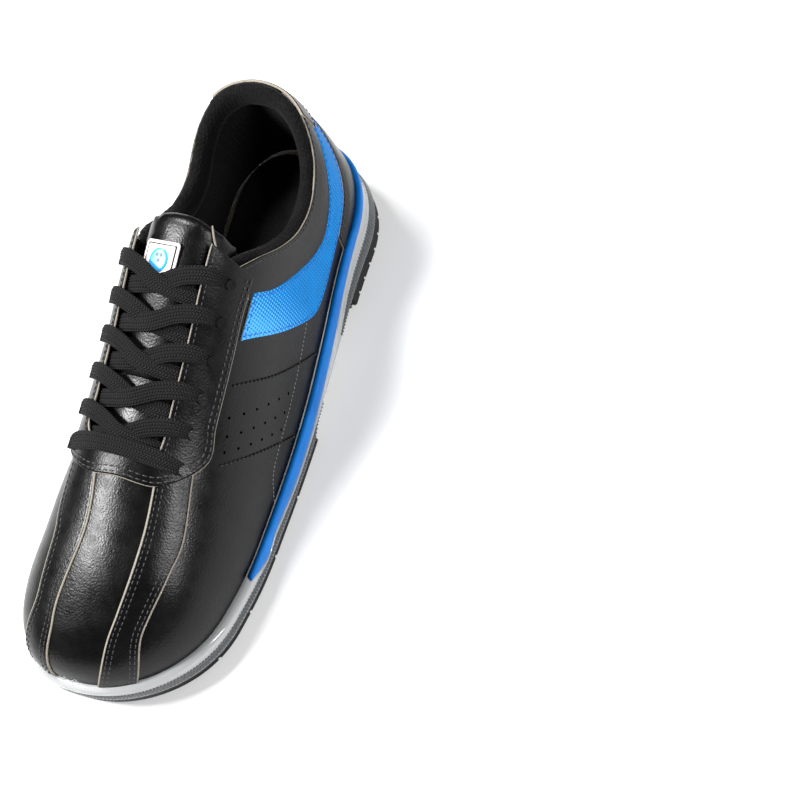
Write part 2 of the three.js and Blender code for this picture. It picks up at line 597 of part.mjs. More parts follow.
for (const [side, name] of SIDES) {
  pieces.push(
    [`rear_insert_${name}`, geometryOf(forefootInsert(rearInsertPlan(side))), BLUE_RUBBER],
    [`heel_insert_${name}`, geometryOf(heelInsert(side)), BLUE_RUBBER],
    [`vamp_band_${name}`, vampBand(side), LEATHER],
    [`vamp_side_${name}`, vampSide(side), LEATHER],
    [`quarter_${name}`, quarter(side), LEATHER],
    [`strap_${name}`, strap(side), BLUE],
    [`collar_panel_${name}`, collarPanel(side), LEATHER],
  );
}

const shoe = new THREE.Group();
for (const [name, geometry, material] of pieces) {
  const mesh = new THREE.Mesh(geometry, material);
  mesh.name = name;
  shoe.add(mesh);
}
export default shoe;
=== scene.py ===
# %% [markdown]
# # A laced bowling shoe
# The imported model is the fixed frame: every piece below is built in metres around it and rides on one of its
# bodies.

# %% The frame
import math

import bmesh
import bpy
import numpy as np
from mathutils import Matrix, Vector
from mathutils.geometry import delaunay_2d_cdt


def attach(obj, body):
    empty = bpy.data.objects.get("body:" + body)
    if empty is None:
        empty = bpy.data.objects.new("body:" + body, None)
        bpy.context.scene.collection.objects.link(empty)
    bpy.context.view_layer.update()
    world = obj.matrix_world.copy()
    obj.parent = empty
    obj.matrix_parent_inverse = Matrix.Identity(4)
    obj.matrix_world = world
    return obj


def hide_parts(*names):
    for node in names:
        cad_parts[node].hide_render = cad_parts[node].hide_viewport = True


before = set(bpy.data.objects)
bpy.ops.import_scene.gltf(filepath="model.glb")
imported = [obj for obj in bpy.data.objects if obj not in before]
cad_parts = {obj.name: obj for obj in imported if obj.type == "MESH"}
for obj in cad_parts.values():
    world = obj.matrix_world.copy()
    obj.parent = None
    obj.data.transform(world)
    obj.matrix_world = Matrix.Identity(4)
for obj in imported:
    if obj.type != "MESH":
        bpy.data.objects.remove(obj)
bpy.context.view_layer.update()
MM = 0.001

# %% [markdown]
# ## Camera, floor and light
# A product picture: a long lens from high on the outer side, rolled so that the shoe runs down the page.
# The lens and distance go together, a long lens keeps toe and heel at nearly the same scale.

# %% Camera
AZIMUTH, ELEVATION, ROLL = math.radians(55.9), math.radians(58.2), math.radians(-37.8)
DISTANCE, LENS = 1.866, 173.2
TARGET = Vector((0.0910, 0.0339, 0.0151))


def aim_camera():
    back = Vector((math.cos(ELEVATION) * math.sin(AZIMUTH), -math.cos(ELEVATION) * math.cos(AZIMUTH),
                   math.sin(ELEVATION)))
    right = (-back).cross(Vector((0, 0, 1))).normalized()
    up = right.cross(-back)
    across = right * math.cos(ROLL) + up * math.sin(ROLL)
    above = up * math.cos(ROLL) - right * math.sin(ROLL)
    data = bpy.data.cameras.new("camera")
    data.lens, data.sensor_width, data.clip_end = LENS, 36, 10
    camera = bpy.data.objects.new("camera", data)
    turn = Matrix((across, above, back)).transposed().to_4x4()
    camera.matrix_world = Matrix.Translation(TARGET + back * DISTANCE) @ turn
    bpy.context.collection.objects.link(camera)
    bpy.context.scene.camera = camera


aim_camera()

# %% [markdown]
# The floor is a plain pale sweep. Three soft boxes stand round the shoe: one overhead for the broad
# highlight on the leather, a tall one on the outer side for the sole and the quarter, and one over the toe.


# %% Floor and lights
def linear(hex_colour, alpha=1.0):
    """An sRGB hex colour as the linear values that a shader works in."""
    parts = [int(hex_colour[i:i + 2], 16) / 255 for i in (1, 3, 5)]
    return tuple(c / 12.92 if c <= 0.04045 else ((c + 0.055) / 1.055) ** 2.4 for c in parts) + (alpha,)


def wire(tree, node, sockets):
    """Gives each named input of a node a value, or joins it to another node's socket."""
    for name, value in sockets.items():
        if isinstance(value, bpy.types.NodeSocket):
            tree.links.new(value, node.inputs[name])
        else:
            node.inputs[name].default_value = value


def add(tree, kind, sockets, stops=(), **settings):
    """One shader node with its inputs and settings; stops are the two (position, colour) ends of a ramp."""
    node = tree.nodes.new(kind)
    for name, value in settings.items():
        setattr(node, name, value)
    if stops:
        for element, (position, colour) in zip(node.color_ramp.elements, stops):
            element.position, element.color = position, colour
    wire(tree, node, sockets)
    return node


def new_material(name):
    """A material, its node tree, its shader and the piece's own coordinates in metres."""
    material = bpy.data.materials.new(name)
    material.use_nodes = True
    tree = material.node_tree
    place = add(tree, "ShaderNodeTexCoord", {}).outputs["Object"]
    return material, tree, tree.nodes["Principled BSDF"], place


def add_floor(size=4.0):
    mesh = bpy.data.meshes.new("floor")
    corners = [(x * size, y * size, 0) for x, y in ((-1, -1), (1, -1), (1, 1), (-1, 1))]
    mesh.from_pydata(corners, [], [(0, 1, 2, 3)])
    floor = bpy.data.objects.new("floor", mesh)
    material, tree, shader, _ = new_material("studio_paper")
    wire(tree, shader, {"Base Color": linear("#cfcfcf"), "Roughness": 0.8, "Emission Color": linear("#ffffff"),
                        "Emission Strength": 0.3})
    mesh.materials.append(material)
    bpy.context.collection.objects.link(floor)


def soft_box(name, place, size, power):
    data = bpy.data.lights.new(name, "AREA")
    data.shape, data.size, data.size_y, data.energy = "RECTANGLE", size[0], size[1], power
    lamp = bpy.data.objects.new(name, data)
    lamp.location = place
    lamp.rotation_euler = (Vector((0, 0, 0.05)) - Vector(place)).to_track_quat("-Z", "Y").to_euler()
    bpy.context.collection.objects.link(lamp)


add_floor()
soft_box("overhead", (-0.6, 0.3, 1.5), (0.35, 0.35), 30)
soft_box("outer_side", (1.45, -0.1, 1.15), (0.25, 0.8), 21)
soft_box("toe_key", (-0.85, -0.55, 1.35), (0.3, 0.3), 36)
world = bpy.data.worlds.new("studio")
bpy.context.scene.world = world
world.use_nodes = True
wire(world.node_tree, world.node_tree.nodes["Background"], {"Color": linear("#ffffff"), "Strength": 0.2})
bpy.context.scene.view_settings.view_transform = "Standard"

# %% [markdown]
# ## The last
# A shoe is built on a last, a solid foot shape. Here it is a plan (half width and centre line), a side view
# (feather line, where upper meets sole, and ridge), and a rounded section between them, each a smooth curve
# through a few stations from toe (-151 mm) to heel (151 mm). The same curves shaped the solid model.


# %% Curves of the last
def through(pairs):
    """A smooth curve through (station, value) pairs."""
    at, value = np.array(pairs, float).T
    slope, width = np.diff(value) / np.diff(at), np.diff(at)
    tangent = np.empty_like(value)
    tangent[0], tangent[-1] = slope[0], slope[-1]
    tangent[1:-1] = (slope[:-1] * width[1:] + slope[1:] * width[:-1]) / (width[1:] + width[:-1])

    def curve(x):
        x = np.clip(np.asarray(x, float), at[0], at[-1])
        i = np.clip(np.searchsorted(at, x, side="right") - 1, 0, len(at) - 2)
        w = width[i]
        s = (x - at[i]) / w
        rise = 3 * s ** 2 - 2 * s ** 3
        bend = (s ** 3 - 2 * s ** 2 + s) * tangent[i] + (s ** 3 - s ** 2) * tangent[i + 1]
        return value[i] * (1 - rise) + value[i + 1] * rise + bend * w

    return curve


def step(value, start, end):
    s = np.clip((value - start) / (end - start), 0, 1)
    return s * s * (3 - 2 * s)


HALF_LENGTH, UPPER_INSET = 151.0, 3.0
half_width = through([(-151, 50), (-95, 52.5), (-75, 52.5), (-35, 49), (12, 44.5), (50, 41.5), (90, 39.5),
                      (118, 39), (151, 39)])
middle = through([(-151, -9), (-110, -2), (-75, 2), (-35, 5), (12, 6.5), (50, 5), (90, 2), (151, 0)])
feather = through([(-151, 26), (-125, 21), (-90, 17.5), (-50, 17.5), (0, 19), (40, 22), (80, 27), (120, 32),
                   (151, 35)])
toe_spring = through([(-151, 9), (-135, 4.5), (-115, 1.2), (-95, 0), (-85, 0)])
ridge = through([(-151, 60), (-120, 62), (-95, 68), (-60, 80), (-30, 91), (0, 105), (30, 121), (60, 135),
                 (90, 142), (151, 142)])
lean = through([(-151, -4), (-100, -3), (-60, -7), (-20, -8), (20, -5), (60, 0), (151, 0)])
fullness = through([(-151, 2.2), (-90, 2.2), (-50, 2.15), (0, 2.45), (40, 2.8), (70, 2.7), (100, 2.6),
                    (151, 2.6)])
stay_half = through([(-50, 38.5), (45, 33)])
eyelet_half = through([(-50, 31), (45, 28)])
throat_half = through([(-50, 21), (45, 20)])
FIRST_EYELET, EYELET_STEP, ROWS = -46, 16.7, 6
LATERAL, MEDIAL = 1, -1
SIDES = ((LATERAL, "lateral"), (MEDIAL, "medial"))


def ground(y):
    return np.maximum(toe_spring(y), 0)


def ridge_x(y):
    return middle(y) + lean(y)


def end_cap(y, inset, toe_from, toe_power, heel_from, heel_power):
    reach = HALF_LENGTH - inset
    t = np.clip((toe_from - y) / (toe_from + reach), 0, 1)
    h = np.clip((y - heel_from) / (reach - heel_from), 0, 1)
    return (1 - t ** toe_power) ** (1 / toe_power) * (1 - h ** heel_power) ** (1 / heel_power)


def plan_half(y, inset):
    return (half_width(y) - inset) * end_cap(y, inset, -95, 2.2, 108, 2.2)


def upper_height(y):
    return (ridge(y) - feather(y)) * end_cap(y, UPPER_INSET, -88, 2.2, 100, 3.2)

# %% [markdown]
# Leather is pulled over the last and pressed on. `press` does that to a cloud of points: each one travels
# along the line from the core of the last until it meets the outer face, found by halving the interval.


# %% Pressing points onto the last
HALVINGS = 26


def outside(p):
    """Above zero outside the last, below zero inside it."""
    x, y, z = p[..., 0], p[..., 1], p[..., 2]
    height = np.maximum((z - feather(y)) / np.maximum(upper_height(y), 1e-3), 0)
    across = (x - middle(y) - lean(y) * height) / np.maximum(plan_half(y, UPPER_INSET), 1e-3)
    n = fullness(y)
    level = np.abs(across) ** n + height ** n - 1
    return np.where(np.abs(y) > HALF_LENGTH - UPPER_INSET - 0.05, 9.0, level)


def unit(vectors):
    return vectors / np.linalg.norm(vectors, axis=-1, keepdims=True)


def run_along(points):
    """Distance of each point from the first, measured along the line."""
    return np.concatenate([[0], np.cumsum(np.linalg.norm(np.diff(points, axis=0), axis=1))])


def press(guide):
    guide = np.asarray(guide, float)
    y = np.clip(guide[..., 1], -104, 112)
    core = np.stack([middle(y) + lean(y) * 0.3, y, feather(y) * 0.75 + ridge(y) * 0.25], -1)
    ray = unit(guide - core)
    near, far = np.zeros(y.shape), np.full(y.shape, 160.0)
    for _ in range(HALVINGS):
        mid = (near + far) / 2
        out = outside(core + ray * mid[..., None]) > 0
        near, far = np.where(out, near, mid), np.where(out, mid, far)
    return core + ray * near[..., None]


def face_normal(p, reach=0.4):
    slopes = []
    for axis in np.eye(3) * reach:
        slopes.append(np.minimum(outside(p + axis), 3) - np.minimum(outside(p - axis), 3))
    n = np.stack(slopes, -1)
    return n / np.maximum(np.linalg.norm(n, axis=-1, keepdims=True), 1e-9)


def wall(side, y, z):
    """The point of the outer face at a station and a height, on one side."""
    height = max((z - float(feather(y))) / float(upper_height(y)), 0)
    n = float(fullness(y))
    across = (1 - min(height, 0.999) ** n) ** (1 / n)
    return np.array([float(middle(y) + lean(y) * height + side * plan_half(y, UPPER_INSET) * across), y, z])


def top(x, y):
    """The point of the outer face straight above (x, y)."""
    n, height = float(fullness(y)), 0.9
    for _ in range(8):
        across = (x - float(middle(y)) - float(lean(y)) * height) / float(plan_half(y, UPPER_INSET))
        height = (1 - min(abs(across), 0.995) ** n) ** (1 / n)
    return np.array([x, y, float(feather(y)) + float(upper_height(y)) * height])


def edge(side, y, lift=0.3):
    return wall(side, y, float(feather(y)) + lift)


def heel_back(z):
    """The middle of the heel at a height, found by halving the interval."""
    near, far = 112.0, HALF_LENGTH
    for _ in range(HALVINGS):
        y = (near + far) / 2
        near, far = (near, y) if outside(np.array([float(middle(y)), y, z])) > 0 else (y, far)
    return np.array([float(middle(near)), near, z])


def over_instep(x, y, lift):
    """A point x mm to the side of the ridge, lifted off the outer face."""
    base = top(float(ridge_x(y)) + x, y)
    return base + face_normal(base) * lift


def smooth(points, ts, closed=False):
    """Catmull-Rom curve through points, read at fractions ts of its length in knots."""
    p = np.asarray(points, float)
    count = len(p) if closed else len(p) - 1
    at = np.asarray(ts) * count
    i = np.clip(np.floor(at).astype(int), 0, count - 1)
    s = (at - i)[:, None]
    if closed:
        a, b, c, d = (p[(i + k) % count] for k in (-1, 0, 1, 2))
    else:
        q = np.vstack([2 * p[0] - p[1], p, 2 * p[-1] - p[-2]])
        a, b, c, d = (q[i + k] for k in (0, 1, 2, 3))
    return 0.5 * (2 * b + (c - a) * s + (2 * a - 5 * b + 4 * c - d) * s ** 2
                  + (3 * b - a - 3 * c + d) * s ** 3)


print("eyelets run from", over_instep(31, FIRST_EYELET, 0).round(1), "mm")

# %% [markdown]
# ## Finishes of the upper
# The upper is synthetic leather: a polyurethane skin on a knitted backing, embossed with a fine pebble and
# then buffed. The pebble is under a millimetre across, so it is bump; wider, softer creases break up the
# highlight. A cut edge shows the pale backing instead of the skin, which is why every rim has its own finish.

# %% Coated leather, black and blue
PEBBLE_MM, CREASE_MM = 0.9, 9.0
BLACK_SKIN = ("#020203", "#060607", 0.3, 0.24)
BLUE_SKIN = ("#006cb2", "#017ac6", 0.45, 0.06)


def grey(value):
    return (value, value, value, 1)


def coated_leather(name, dark, light, rough, gloss):
    """PU-coated leather: two close tones, a roughness that wanders, embossed pebble and soft creases."""
    material, tree, shader, place = new_material(name)
    pebble = add(tree, "ShaderNodeTexVoronoi", {"Vector": place, "Scale": 1 / (PEBBLE_MM * MM)},
                 feature="SMOOTH_F1")
    crease = add(tree, "ShaderNodeTexNoise", {"Vector": place, "Scale": 1 / (CREASE_MM * MM), "Detail": 5.0,
                                              "Roughness": 0.6}).outputs["Fac"]
    tone = add(tree, "ShaderNodeValToRGB", {"Fac": crease}, ((0.3, linear(dark)), (0.75, linear(light))))
    wear = add(tree, "ShaderNodeValToRGB", {"Fac": crease}, ((0.25, grey(rough - 0.07)), (0.8, grey(rough + 0.1))))
    soft = add(tree, "ShaderNodeBump", {"Height": crease, "Strength": 0.13, "Distance": 0.0008})
    relief = add(tree, "ShaderNodeBump", {"Height": pebble.outputs["Distance"], "Strength": 0.8,
                                          "Distance": 0.0001, "Normal": soft.outputs["Normal"]})
    wire(tree, shader, {"Base Color": tone.outputs["Color"], "Roughness": wear.outputs["Color"],
                        "Specular IOR Level": gloss, "Normal": relief.outputs["Normal"]})
    return material


black_leather = coated_leather("black_coated_leather", *BLACK_SKIN)

# %% [markdown]
# Cut edges, sewing thread and the boards inside are all fibre seen from near: two tones of one colour, mottled
# by the fibres, and a faint relief. They differ in the size of the fibre, how matt they are and how rough.


# %% Fibres: cut edge, thread and board
def fibrous(name, dark, light, fibre_mm, detail, rough, relief, relief_mm, spread=0.2):
    """Fibre seen from near. Spread is how far the two tones lie from the middle of the noise."""
    material, tree, shader, place = new_material(name)
    fibre = add(tree, "ShaderNodeTexNoise", {"Vector": place, "Scale": 1 / (fibre_mm * MM), "Detail": detail})
    tone = add(tree, "ShaderNodeValToRGB", {"Fac": fibre.outputs["Fac"]},
               ((0.5 - spread, linear(dark)), (0.5 + spread, linear(light))))
    bump = add(tree, "ShaderNodeBump", {"Height": fibre.outputs["Fac"], "Strength": relief,
                                        "Distance": relief_mm * MM})
    wire(tree, shader, {"Base Color": tone.outputs["Color"], "Roughness": rough,
                        "Normal": bump.outputs["Normal"]})
    return material


def bonded_thread(name, dark, light):
    """Twisted nylon sewing thread: a slight shine and a twist 0.5 mm long."""
    return fibrous(name, dark, light, 0.5, 1.0, 0.5, 0.5, 0.1, spread=0.15)


edge_backing = fibrous("cut_edge_backing", "#6d665d", "#a39a8d", 0.4, 3.0, 0.9, 0.4, 0.2)
threads = {"black": bonded_thread("black_nylon_thread", "#121214", "#3a3a3e"),
           "blue": bonded_thread("blue_nylon_thread", "#0558b8", "#1272d8"),
           "dark": bonded_thread("waxed_black_cord", "#010101", "#0a0a0a"),
           "pale": bonded_thread("grey_nylon_thread", "#6d6a66", "#a5a19a")}

# %% [markdown]
# The collar is covered with spacer mesh, a warp knit: rows of small loops with darker holes between them.

# %% Spacer knit
KNIT_MM = 1.6


def padded_knit(name, dark, light):
    """Warp-knit spacer mesh with a faint sheen of loose fibres."""
    material, tree, shader, place = new_material(name)
    loops = add(tree, "ShaderNodeTexVoronoi", {"Vector": place, "Scale": 1 / (KNIT_MM * MM), "Randomness": 0.35},
                feature="F1").outputs["Distance"]
    fuzz = add(tree, "ShaderNodeTexNoise", {"Vector": place, "Scale": 900.0, "Detail": 3.0})
    tone = add(tree, "ShaderNodeValToRGB", {"Fac": loops}, ((0.2, linear(light)), (0.62, linear(dark))))
    soft = add(tree, "ShaderNodeBump", {"Height": fuzz.outputs["Fac"], "Strength": 0.3, "Distance": 0.0002})
    relief = add(tree, "ShaderNodeBump", {"Height": loops, "Strength": 0.9, "Distance": 0.0005,
                                          "Normal": soft.outputs["Normal"]})
    wire(tree, shader, {"Base Color": tone.outputs["Color"], "Roughness": 0.85, "Specular IOR Level": 0.15,
                        "Sheen Weight": 0.03, "Sheen Roughness": 0.5, "Normal": relief.outputs["Normal"]})
    return material


black_knit = padded_knit("black_spacer_knit", "#010101", "#0b0b0c")

# %% [markdown]
# The strap is blue leather with a screen print: a grid of pale dots that shrink from the lace stay towards the
# heel. A cell pattern with no randomness gives the grid, and the limit of each dot falls along the shoe.

# %% Printed strap leather
DOT_MM, FADE_FROM, FADE_TO = 1.7, 0.030, 0.058


def printed_dots(material):
    """Screen print on leather: pale dots in rows that fade out along the shoe."""
    tree = material.node_tree
    shader = tree.nodes["Principled BSDF"]
    place = add(tree, "ShaderNodeTexCoord", {}).outputs["Object"]
    flat = add(tree, "ShaderNodeVectorMath", {0: place, 1: (0.0, 1.0, 1.0)}, operation="MULTIPLY")
    dots = add(tree, "ShaderNodeTexVoronoi", {"Vector": flat.outputs[0], "Scale": 1 / (DOT_MM * MM),
                                              "Randomness": 0.0}, feature="F1")
    station = add(tree, "ShaderNodeSeparateXYZ", {"Vector": place})
    fade = add(tree, "ShaderNodeMapRange", {"Value": station.outputs["Y"], "From Min": FADE_FROM,
                                            "From Max": FADE_TO, "To Min": 0.5, "To Max": 0.12})
    inked = add(tree, "ShaderNodeMath", {0: dots.outputs["Distance"], 1: fade.outputs["Result"]},
                operation="LESS_THAN")
    plain = shader.inputs["Base Color"].links[0].from_socket
    mix = add(tree, "ShaderNodeMix", {"Factor": inked.outputs[0]}, data_type="RGBA")
    wire(tree, mix, {"A": plain, "B": linear("#58b4ff")})
    wire(tree, shader, {"Base Color": mix.outputs["Result"]})
    return material


dotted_blue = printed_dots(coated_leather("dotted_blue_leather", *BLUE_SKIN))

# %% [markdown]
# ## Cutting a leather piece
# Each pattern piece is ruled between two guide lines, pressed onto the last, and given its thickness. Near a
# cut edge the skin rolls down, and between seams it is a little fuller. The grid has extra lines close to the
# edges so that the roll is real geometry and catches the light.


# %% Sheets
NEAR_EDGE = (0.0, 0.2, 0.5, 1.0, 1.6, 2.2, 3.0, 4.2, 6.0)


def fractions(length, spacing):
    """Fractions of a length in mm, close together near both ends."""
    near = [d for d in NEAR_EDGE if d < length / 2 - 0.4]
    count = max(int(round((length - 2 * near[-1]) / spacing)), 1)
    middle_part = np.linspace(near[-1], length - near[-1], count + 1)[1:-1]
    return np.concatenate([near, middle_part, [length - d for d in reversed(near)]]) / length


def path_length(points):
    return float(run_along(points)[-1])


def ruled(first, second, spacing=3.5, closed=False, across=None):
    """Grid of points between two guide lines, pressed onto the last. Rows run from first to second."""
    coarse = np.linspace(0, 1, 60)
    a, b = smooth(first, coarse, closed), smooth(second, coarse, closed)
    along = max(path_length(a), path_length(b))
    wide = float(np.linalg.norm(a - b, axis=1).max())
    if closed:
        ts = np.linspace(0, 1, int(along / spacing) + 1)[:-1]
    else:
        ts = fractions(along, spacing)
    rs = fractions(wide, across or spacing)
    a, b = smooth(first, ts, closed), smooth(second, ts, closed)
    return press(a[None] + (b - a)[None] * rs[:, None, None])


def grid_run(grid):
    """Distance of each point of a grid from its first row, measured down the columns."""
    return np.concatenate([np.zeros((1,) + grid.shape[1:2]),
                           np.cumsum(np.linalg.norm(np.diff(grid, axis=0), axis=-1), 0)])


def edge_distance(grid, closed=False):
    """Distance in mm of each grid point from the nearest edge, measured along the grid."""
    rows = grid_run(grid)
    d = np.minimum(rows, rows[-1] - rows)
    if not closed:
        cols = grid_run(grid.transpose(1, 0, 2)).T
        d = np.minimum(d, np.minimum(cols, cols[:, -1:] - cols))
    return d


def grid_faces(rows, cols, closed, start=0, flip=False):
    wide = cols if closed else cols - 1
    r, c = np.meshgrid(np.arange(rows - 1), np.arange(wide), indexing="ij")
    n = (c + 1) % cols
    quads = np.stack([r * cols + c, r * cols + n, (r + 1) * cols + n, (r + 1) * cols + c], -1).reshape(-1, 4)
    return (quads[:, ::-1] if flip else quads) + start


def rim_faces(rows, cols, closed, upper):
    """Quads that join the rims of two grids, the second one starting at vertex `upper`."""
    bottom, top_row = list(range(cols)), list(range((rows - 1) * cols, rows * cols))
    loops = [bottom + bottom[:1], (top_row + top_row[:1])[::-1]] if closed else [
        bottom + [r * cols + cols - 1 for r in range(1, rows)] + top_row[-2::-1]
        + [r * cols for r in range(rows - 2, -1, -1)]]
    return np.array([[a, b, b + upper, a + upper] for loop in loops for a, b in zip(loop, loop[1:])])


def make(name, points_mm, faces, materials, finish_of_face=None):
    """A mesh object from points in mm, with its normals turned outwards and smooth shading."""
    mesh = bpy.data.meshes.new(name)
    points = np.asarray(points_mm).reshape(-1, 3) * MM
    mesh.from_pydata(points.tolist(), [], [list(map(int, f)) for f in faces])
    for material in materials:
        mesh.materials.append(material)
    if finish_of_face is not None:
        mesh.polygons.foreach_set("material_index", np.asarray(finish_of_face, np.int32))
    work = bmesh.new()
    work.from_mesh(mesh)
    bmesh.ops.recalc_face_normals(work, faces=work.faces)
    work.to_mesh(mesh)
    work.free()
    mesh.shade_smooth()
    piece = bpy.data.objects.new(name, mesh)
    bpy.context.collection.objects.link(piece)
    return piece


def settle(piece, slot, *nodes, body="shoe"):
    """Hangs a finished piece on its body and hides the CAD nodes it stands for. The slot is not used."""
    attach(piece, body)
    if nodes:
        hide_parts(*nodes)
    return piece


def two_skins(name, inner, outer, materials, closed=False):
    """Closed sheet: inner and outer grid, and a rim in the second material."""
    rows, cols = outer.shape[:2]
    count = rows * cols
    parts = [grid_faces(rows, cols, closed, count), grid_faces(rows, cols, closed, 0, True),
             rim_faces(rows, cols, closed, count)]
    finish = np.repeat([0, 0, min(1, len(materials) - 1)], [len(p) for p in parts])
    points = np.concatenate([inner.reshape(-1, 3), outer.reshape(-1, 3)])
    piece = make(name, points, np.concatenate(parts), materials, finish)
    shade_rim_sharp(piece)
    return piece


def capped_tube(name, rings, materials):
    """A closed body from a list of closed rings, its ends closed on the rings' middles."""
    rings = np.asarray(rings)
    count, around = rings.shape[:2]
    faces = grid_faces(count, around, True).tolist()
    points = np.concatenate([rings.reshape(-1, 3), rings[[0, -1]].mean(1)])
    for k, ring_start in ((0, 0), (1, (count - 1) * around)):
        tip = count * around + k
        faces += [[ring_start + i, ring_start + (i + 1) % around, tip] for i in range(around)]
    return make(name, points, faces, materials)


def shade_rim_sharp(piece):
    """Keeps the corner between skin and rim crisp."""
    mesh = piece.data
    finish = np.empty(len(mesh.polygons), np.int32)
    mesh.polygons.foreach_get("material_index", finish)
    sides = {}
    for polygon in mesh.polygons:
        for key in polygon.edge_keys:
            sides.setdefault(key, set()).add(int(finish[polygon.index]))
    for e in mesh.edges:
        if len(sides.get(e.key, ())) > 1:
            e.use_edge_sharp = True


EDGE_ROLL, FULLNESS_MM = 0.45, 0.35
ROLL_REACH, FULL_REACH = 1.0, 7.0


def leather(name, grid, low, high, material, closed=False, roll=EDGE_ROLL, full=FULLNESS_MM):
    """A cut piece of leather: skin rolled down at the edges, a little fuller in the middle."""
    d = edge_distance(grid, closed)
    normal = face_normal(grid)
    rolled = roll * (1 - np.sqrt(1 - (1 - np.clip(d / ROLL_REACH, 0, 1)) ** 2 * 0.999))
    lift = high - rolled + full * (1 - np.exp(-(d / FULL_REACH) ** 2))
    return two_skins(name, grid + normal * low, grid + normal * lift[..., None], [material, edge_backing],
                     closed)

# %% [markdown]
# ## Sewing
# A seam is a row of short lock stitches: each one surfaces, lies on the leather for two to three millimetres
# and dives again. One stitch is a small bent capsule, and `sew` repeats it along a line on a piece.


# %% Stitches
def inset_line(grid, which, distance):
    """The line at a distance in mm inside one edge of a grid: first, second, start or end."""
    turned = grid.transpose(1, 0, 2) if which in ("start", "end") else grid
    g = turned[::-1] if which in ("second", "end") else turned
    run = grid_run(g)
    points = []
    for c in range(g.shape[1]):
        points.append([np.interp(distance, run[:, c], g[:, c, k]) for k in range(3)])
    return np.array(points)


def walk(points, at):
    """The places on a line at the given distances along it."""
    run = run_along(points)
    return np.stack([np.interp(at, run, points[:, k]) for k in range(3)], -1)


def stitch_mesh(centre, tangent, normal, length, radius):
    """Rings of one stitch: a capsule bent so that its ends dive into the leather."""
    side = np.cross(normal, tangent)
    rings = []
    for t, thick in ((-0.5, 0.45), (-0.36, 0.95), (0.0, 1.05), (0.36, 0.95), (0.5, 0.45)):
        spine = centre + tangent * (t * length) + normal * (radius * (0.75 - 5.2 * t * t))
        turn = np.arange(6) * math.pi / 3
        rings.append(spine + radius * thick * (np.cos(turn)[:, None] * side + np.sin(turn)[:, None] * normal))
    return np.concatenate(rings)


STITCH_POINTS = 30
STITCH_ENDS = [[5, 4, 3, 2], [5, 2, 1, 0], [24, 25, 26, 27], [24, 27, 28, 29]]
STITCH_FACES = np.concatenate([grid_faces(5, 6, True), STITCH_ENDS])
seams = {}


def sew(thread, line, lift, pitch=3.0, length=2.3, radius=0.27):
    """Adds a row of stitches on a line of surface points to the seams of one thread."""
    centres = walk(np.asarray(line), np.arange(pitch / 2, path_length(line) - pitch / 2, pitch))
    tangents = unit(np.gradient(centres, axis=0))
    normals = face_normal(centres)
    for c, t, n in zip(centres, tangents, normals):
        seams.setdefault(thread, []).append(stitch_mesh(c + n * lift, t, n, length, radius))


print("ready to cut leather")

# %% [markdown]
# ## The upper, piece by piece
# First the low pieces: the side panels and the vamp. Their upper edges run on under the lace stay, as the
# real ones do. The lines are given at stations along the shoe, as a pattern cutter marks them on the last.

# %% Quarters and vamp sides
PANEL, OVERLAY = (-1.8, -0.1), (0.1, 1.45)
QUARTER_FRONT = -61.0


def line(side, pairs, shift=0.0):
    return [wall(side, y, z + shift) for y, z in pairs]


def along_stay(side, ys, half, shift=0.0):
    return [top(float(ridge_x(y)) + side * (float(half(y)) + shift), y) for y in ys]


def toe_point(angle, lift=0.3):
    """The point of the sole's edge at a bearing round the toe, in degrees from straight ahead."""
    turn = math.radians(angle)
    start = np.array([float(middle(-120)), -104.0])
    far = start + 90 * np.array([math.sin(turn), -math.cos(turn)])
    for reach in np.linspace(0, 1, 600):
        x, y = start + (far - start) * reach
        if y < -147.9 or abs(x - float(middle(y))) > float(plan_half(y, UPPER_INSET)):
            return np.array([x, y, float(feather(y)) + lift])
    return np.array([far[0], far[1], float(feather(-150)) + lift])


grids = {}
for side, name in SIDES:
    low = [edge(side, y) for y in (QUARTER_FRONT, -30, 0, 30, 60, 90, 118, 136, 145)] + [heel_back(35.4)]
    high = along_stay(side, (-50, -32, -14, 4, 24), stay_half, -5)
    high += line(side, [(58, 92), (88, 73), (114, 82), (134, 94), (144, 99)]) + [heel_back(100)]
    grids["quarter", side] = ruled(low, high)
    piece = leather("sewn_quarter_" + name, grids["quarter", side], *PANEL, black_leather)
    settle(piece, "leather", "quarter_" + name)

# %% [markdown]
# The vamp has a centre plug, a narrow band on each side of it, and a side panel outside each band. The bands
# lie on top, so their cut edges show as two thin pale lines that run from the lace stay over the toe.

# %% Vamp plug, bands and sides
SEAM_PLUG = {MEDIAL: [(-13, -53), (-10, -75), (-11, -93), (-17, -120), (-18, -134)],
             LATERAL: [(18, -50), (19.5, -75), (19, -95), (15.5, -118), (12, -132)]}
SEAM_BAND = {MEDIAL: [(-29, -46), (-30, -75), (-28, -90), (-29, -110), (-31, -124)],
             LATERAL: [(31, -44), (34.5, -75), (33, -93), (29, -113), (26, -126)]}
PLUG_FOOT = {MEDIAL: -19, LATERAL: 11}
BAND_FOOT = {MEDIAL: -38, LATERAL: 36}


def vamp_line(seam, foot, shift=0.0):
    return [top(x + shift, y) for x, y in seam] + [toe_point(foot)]


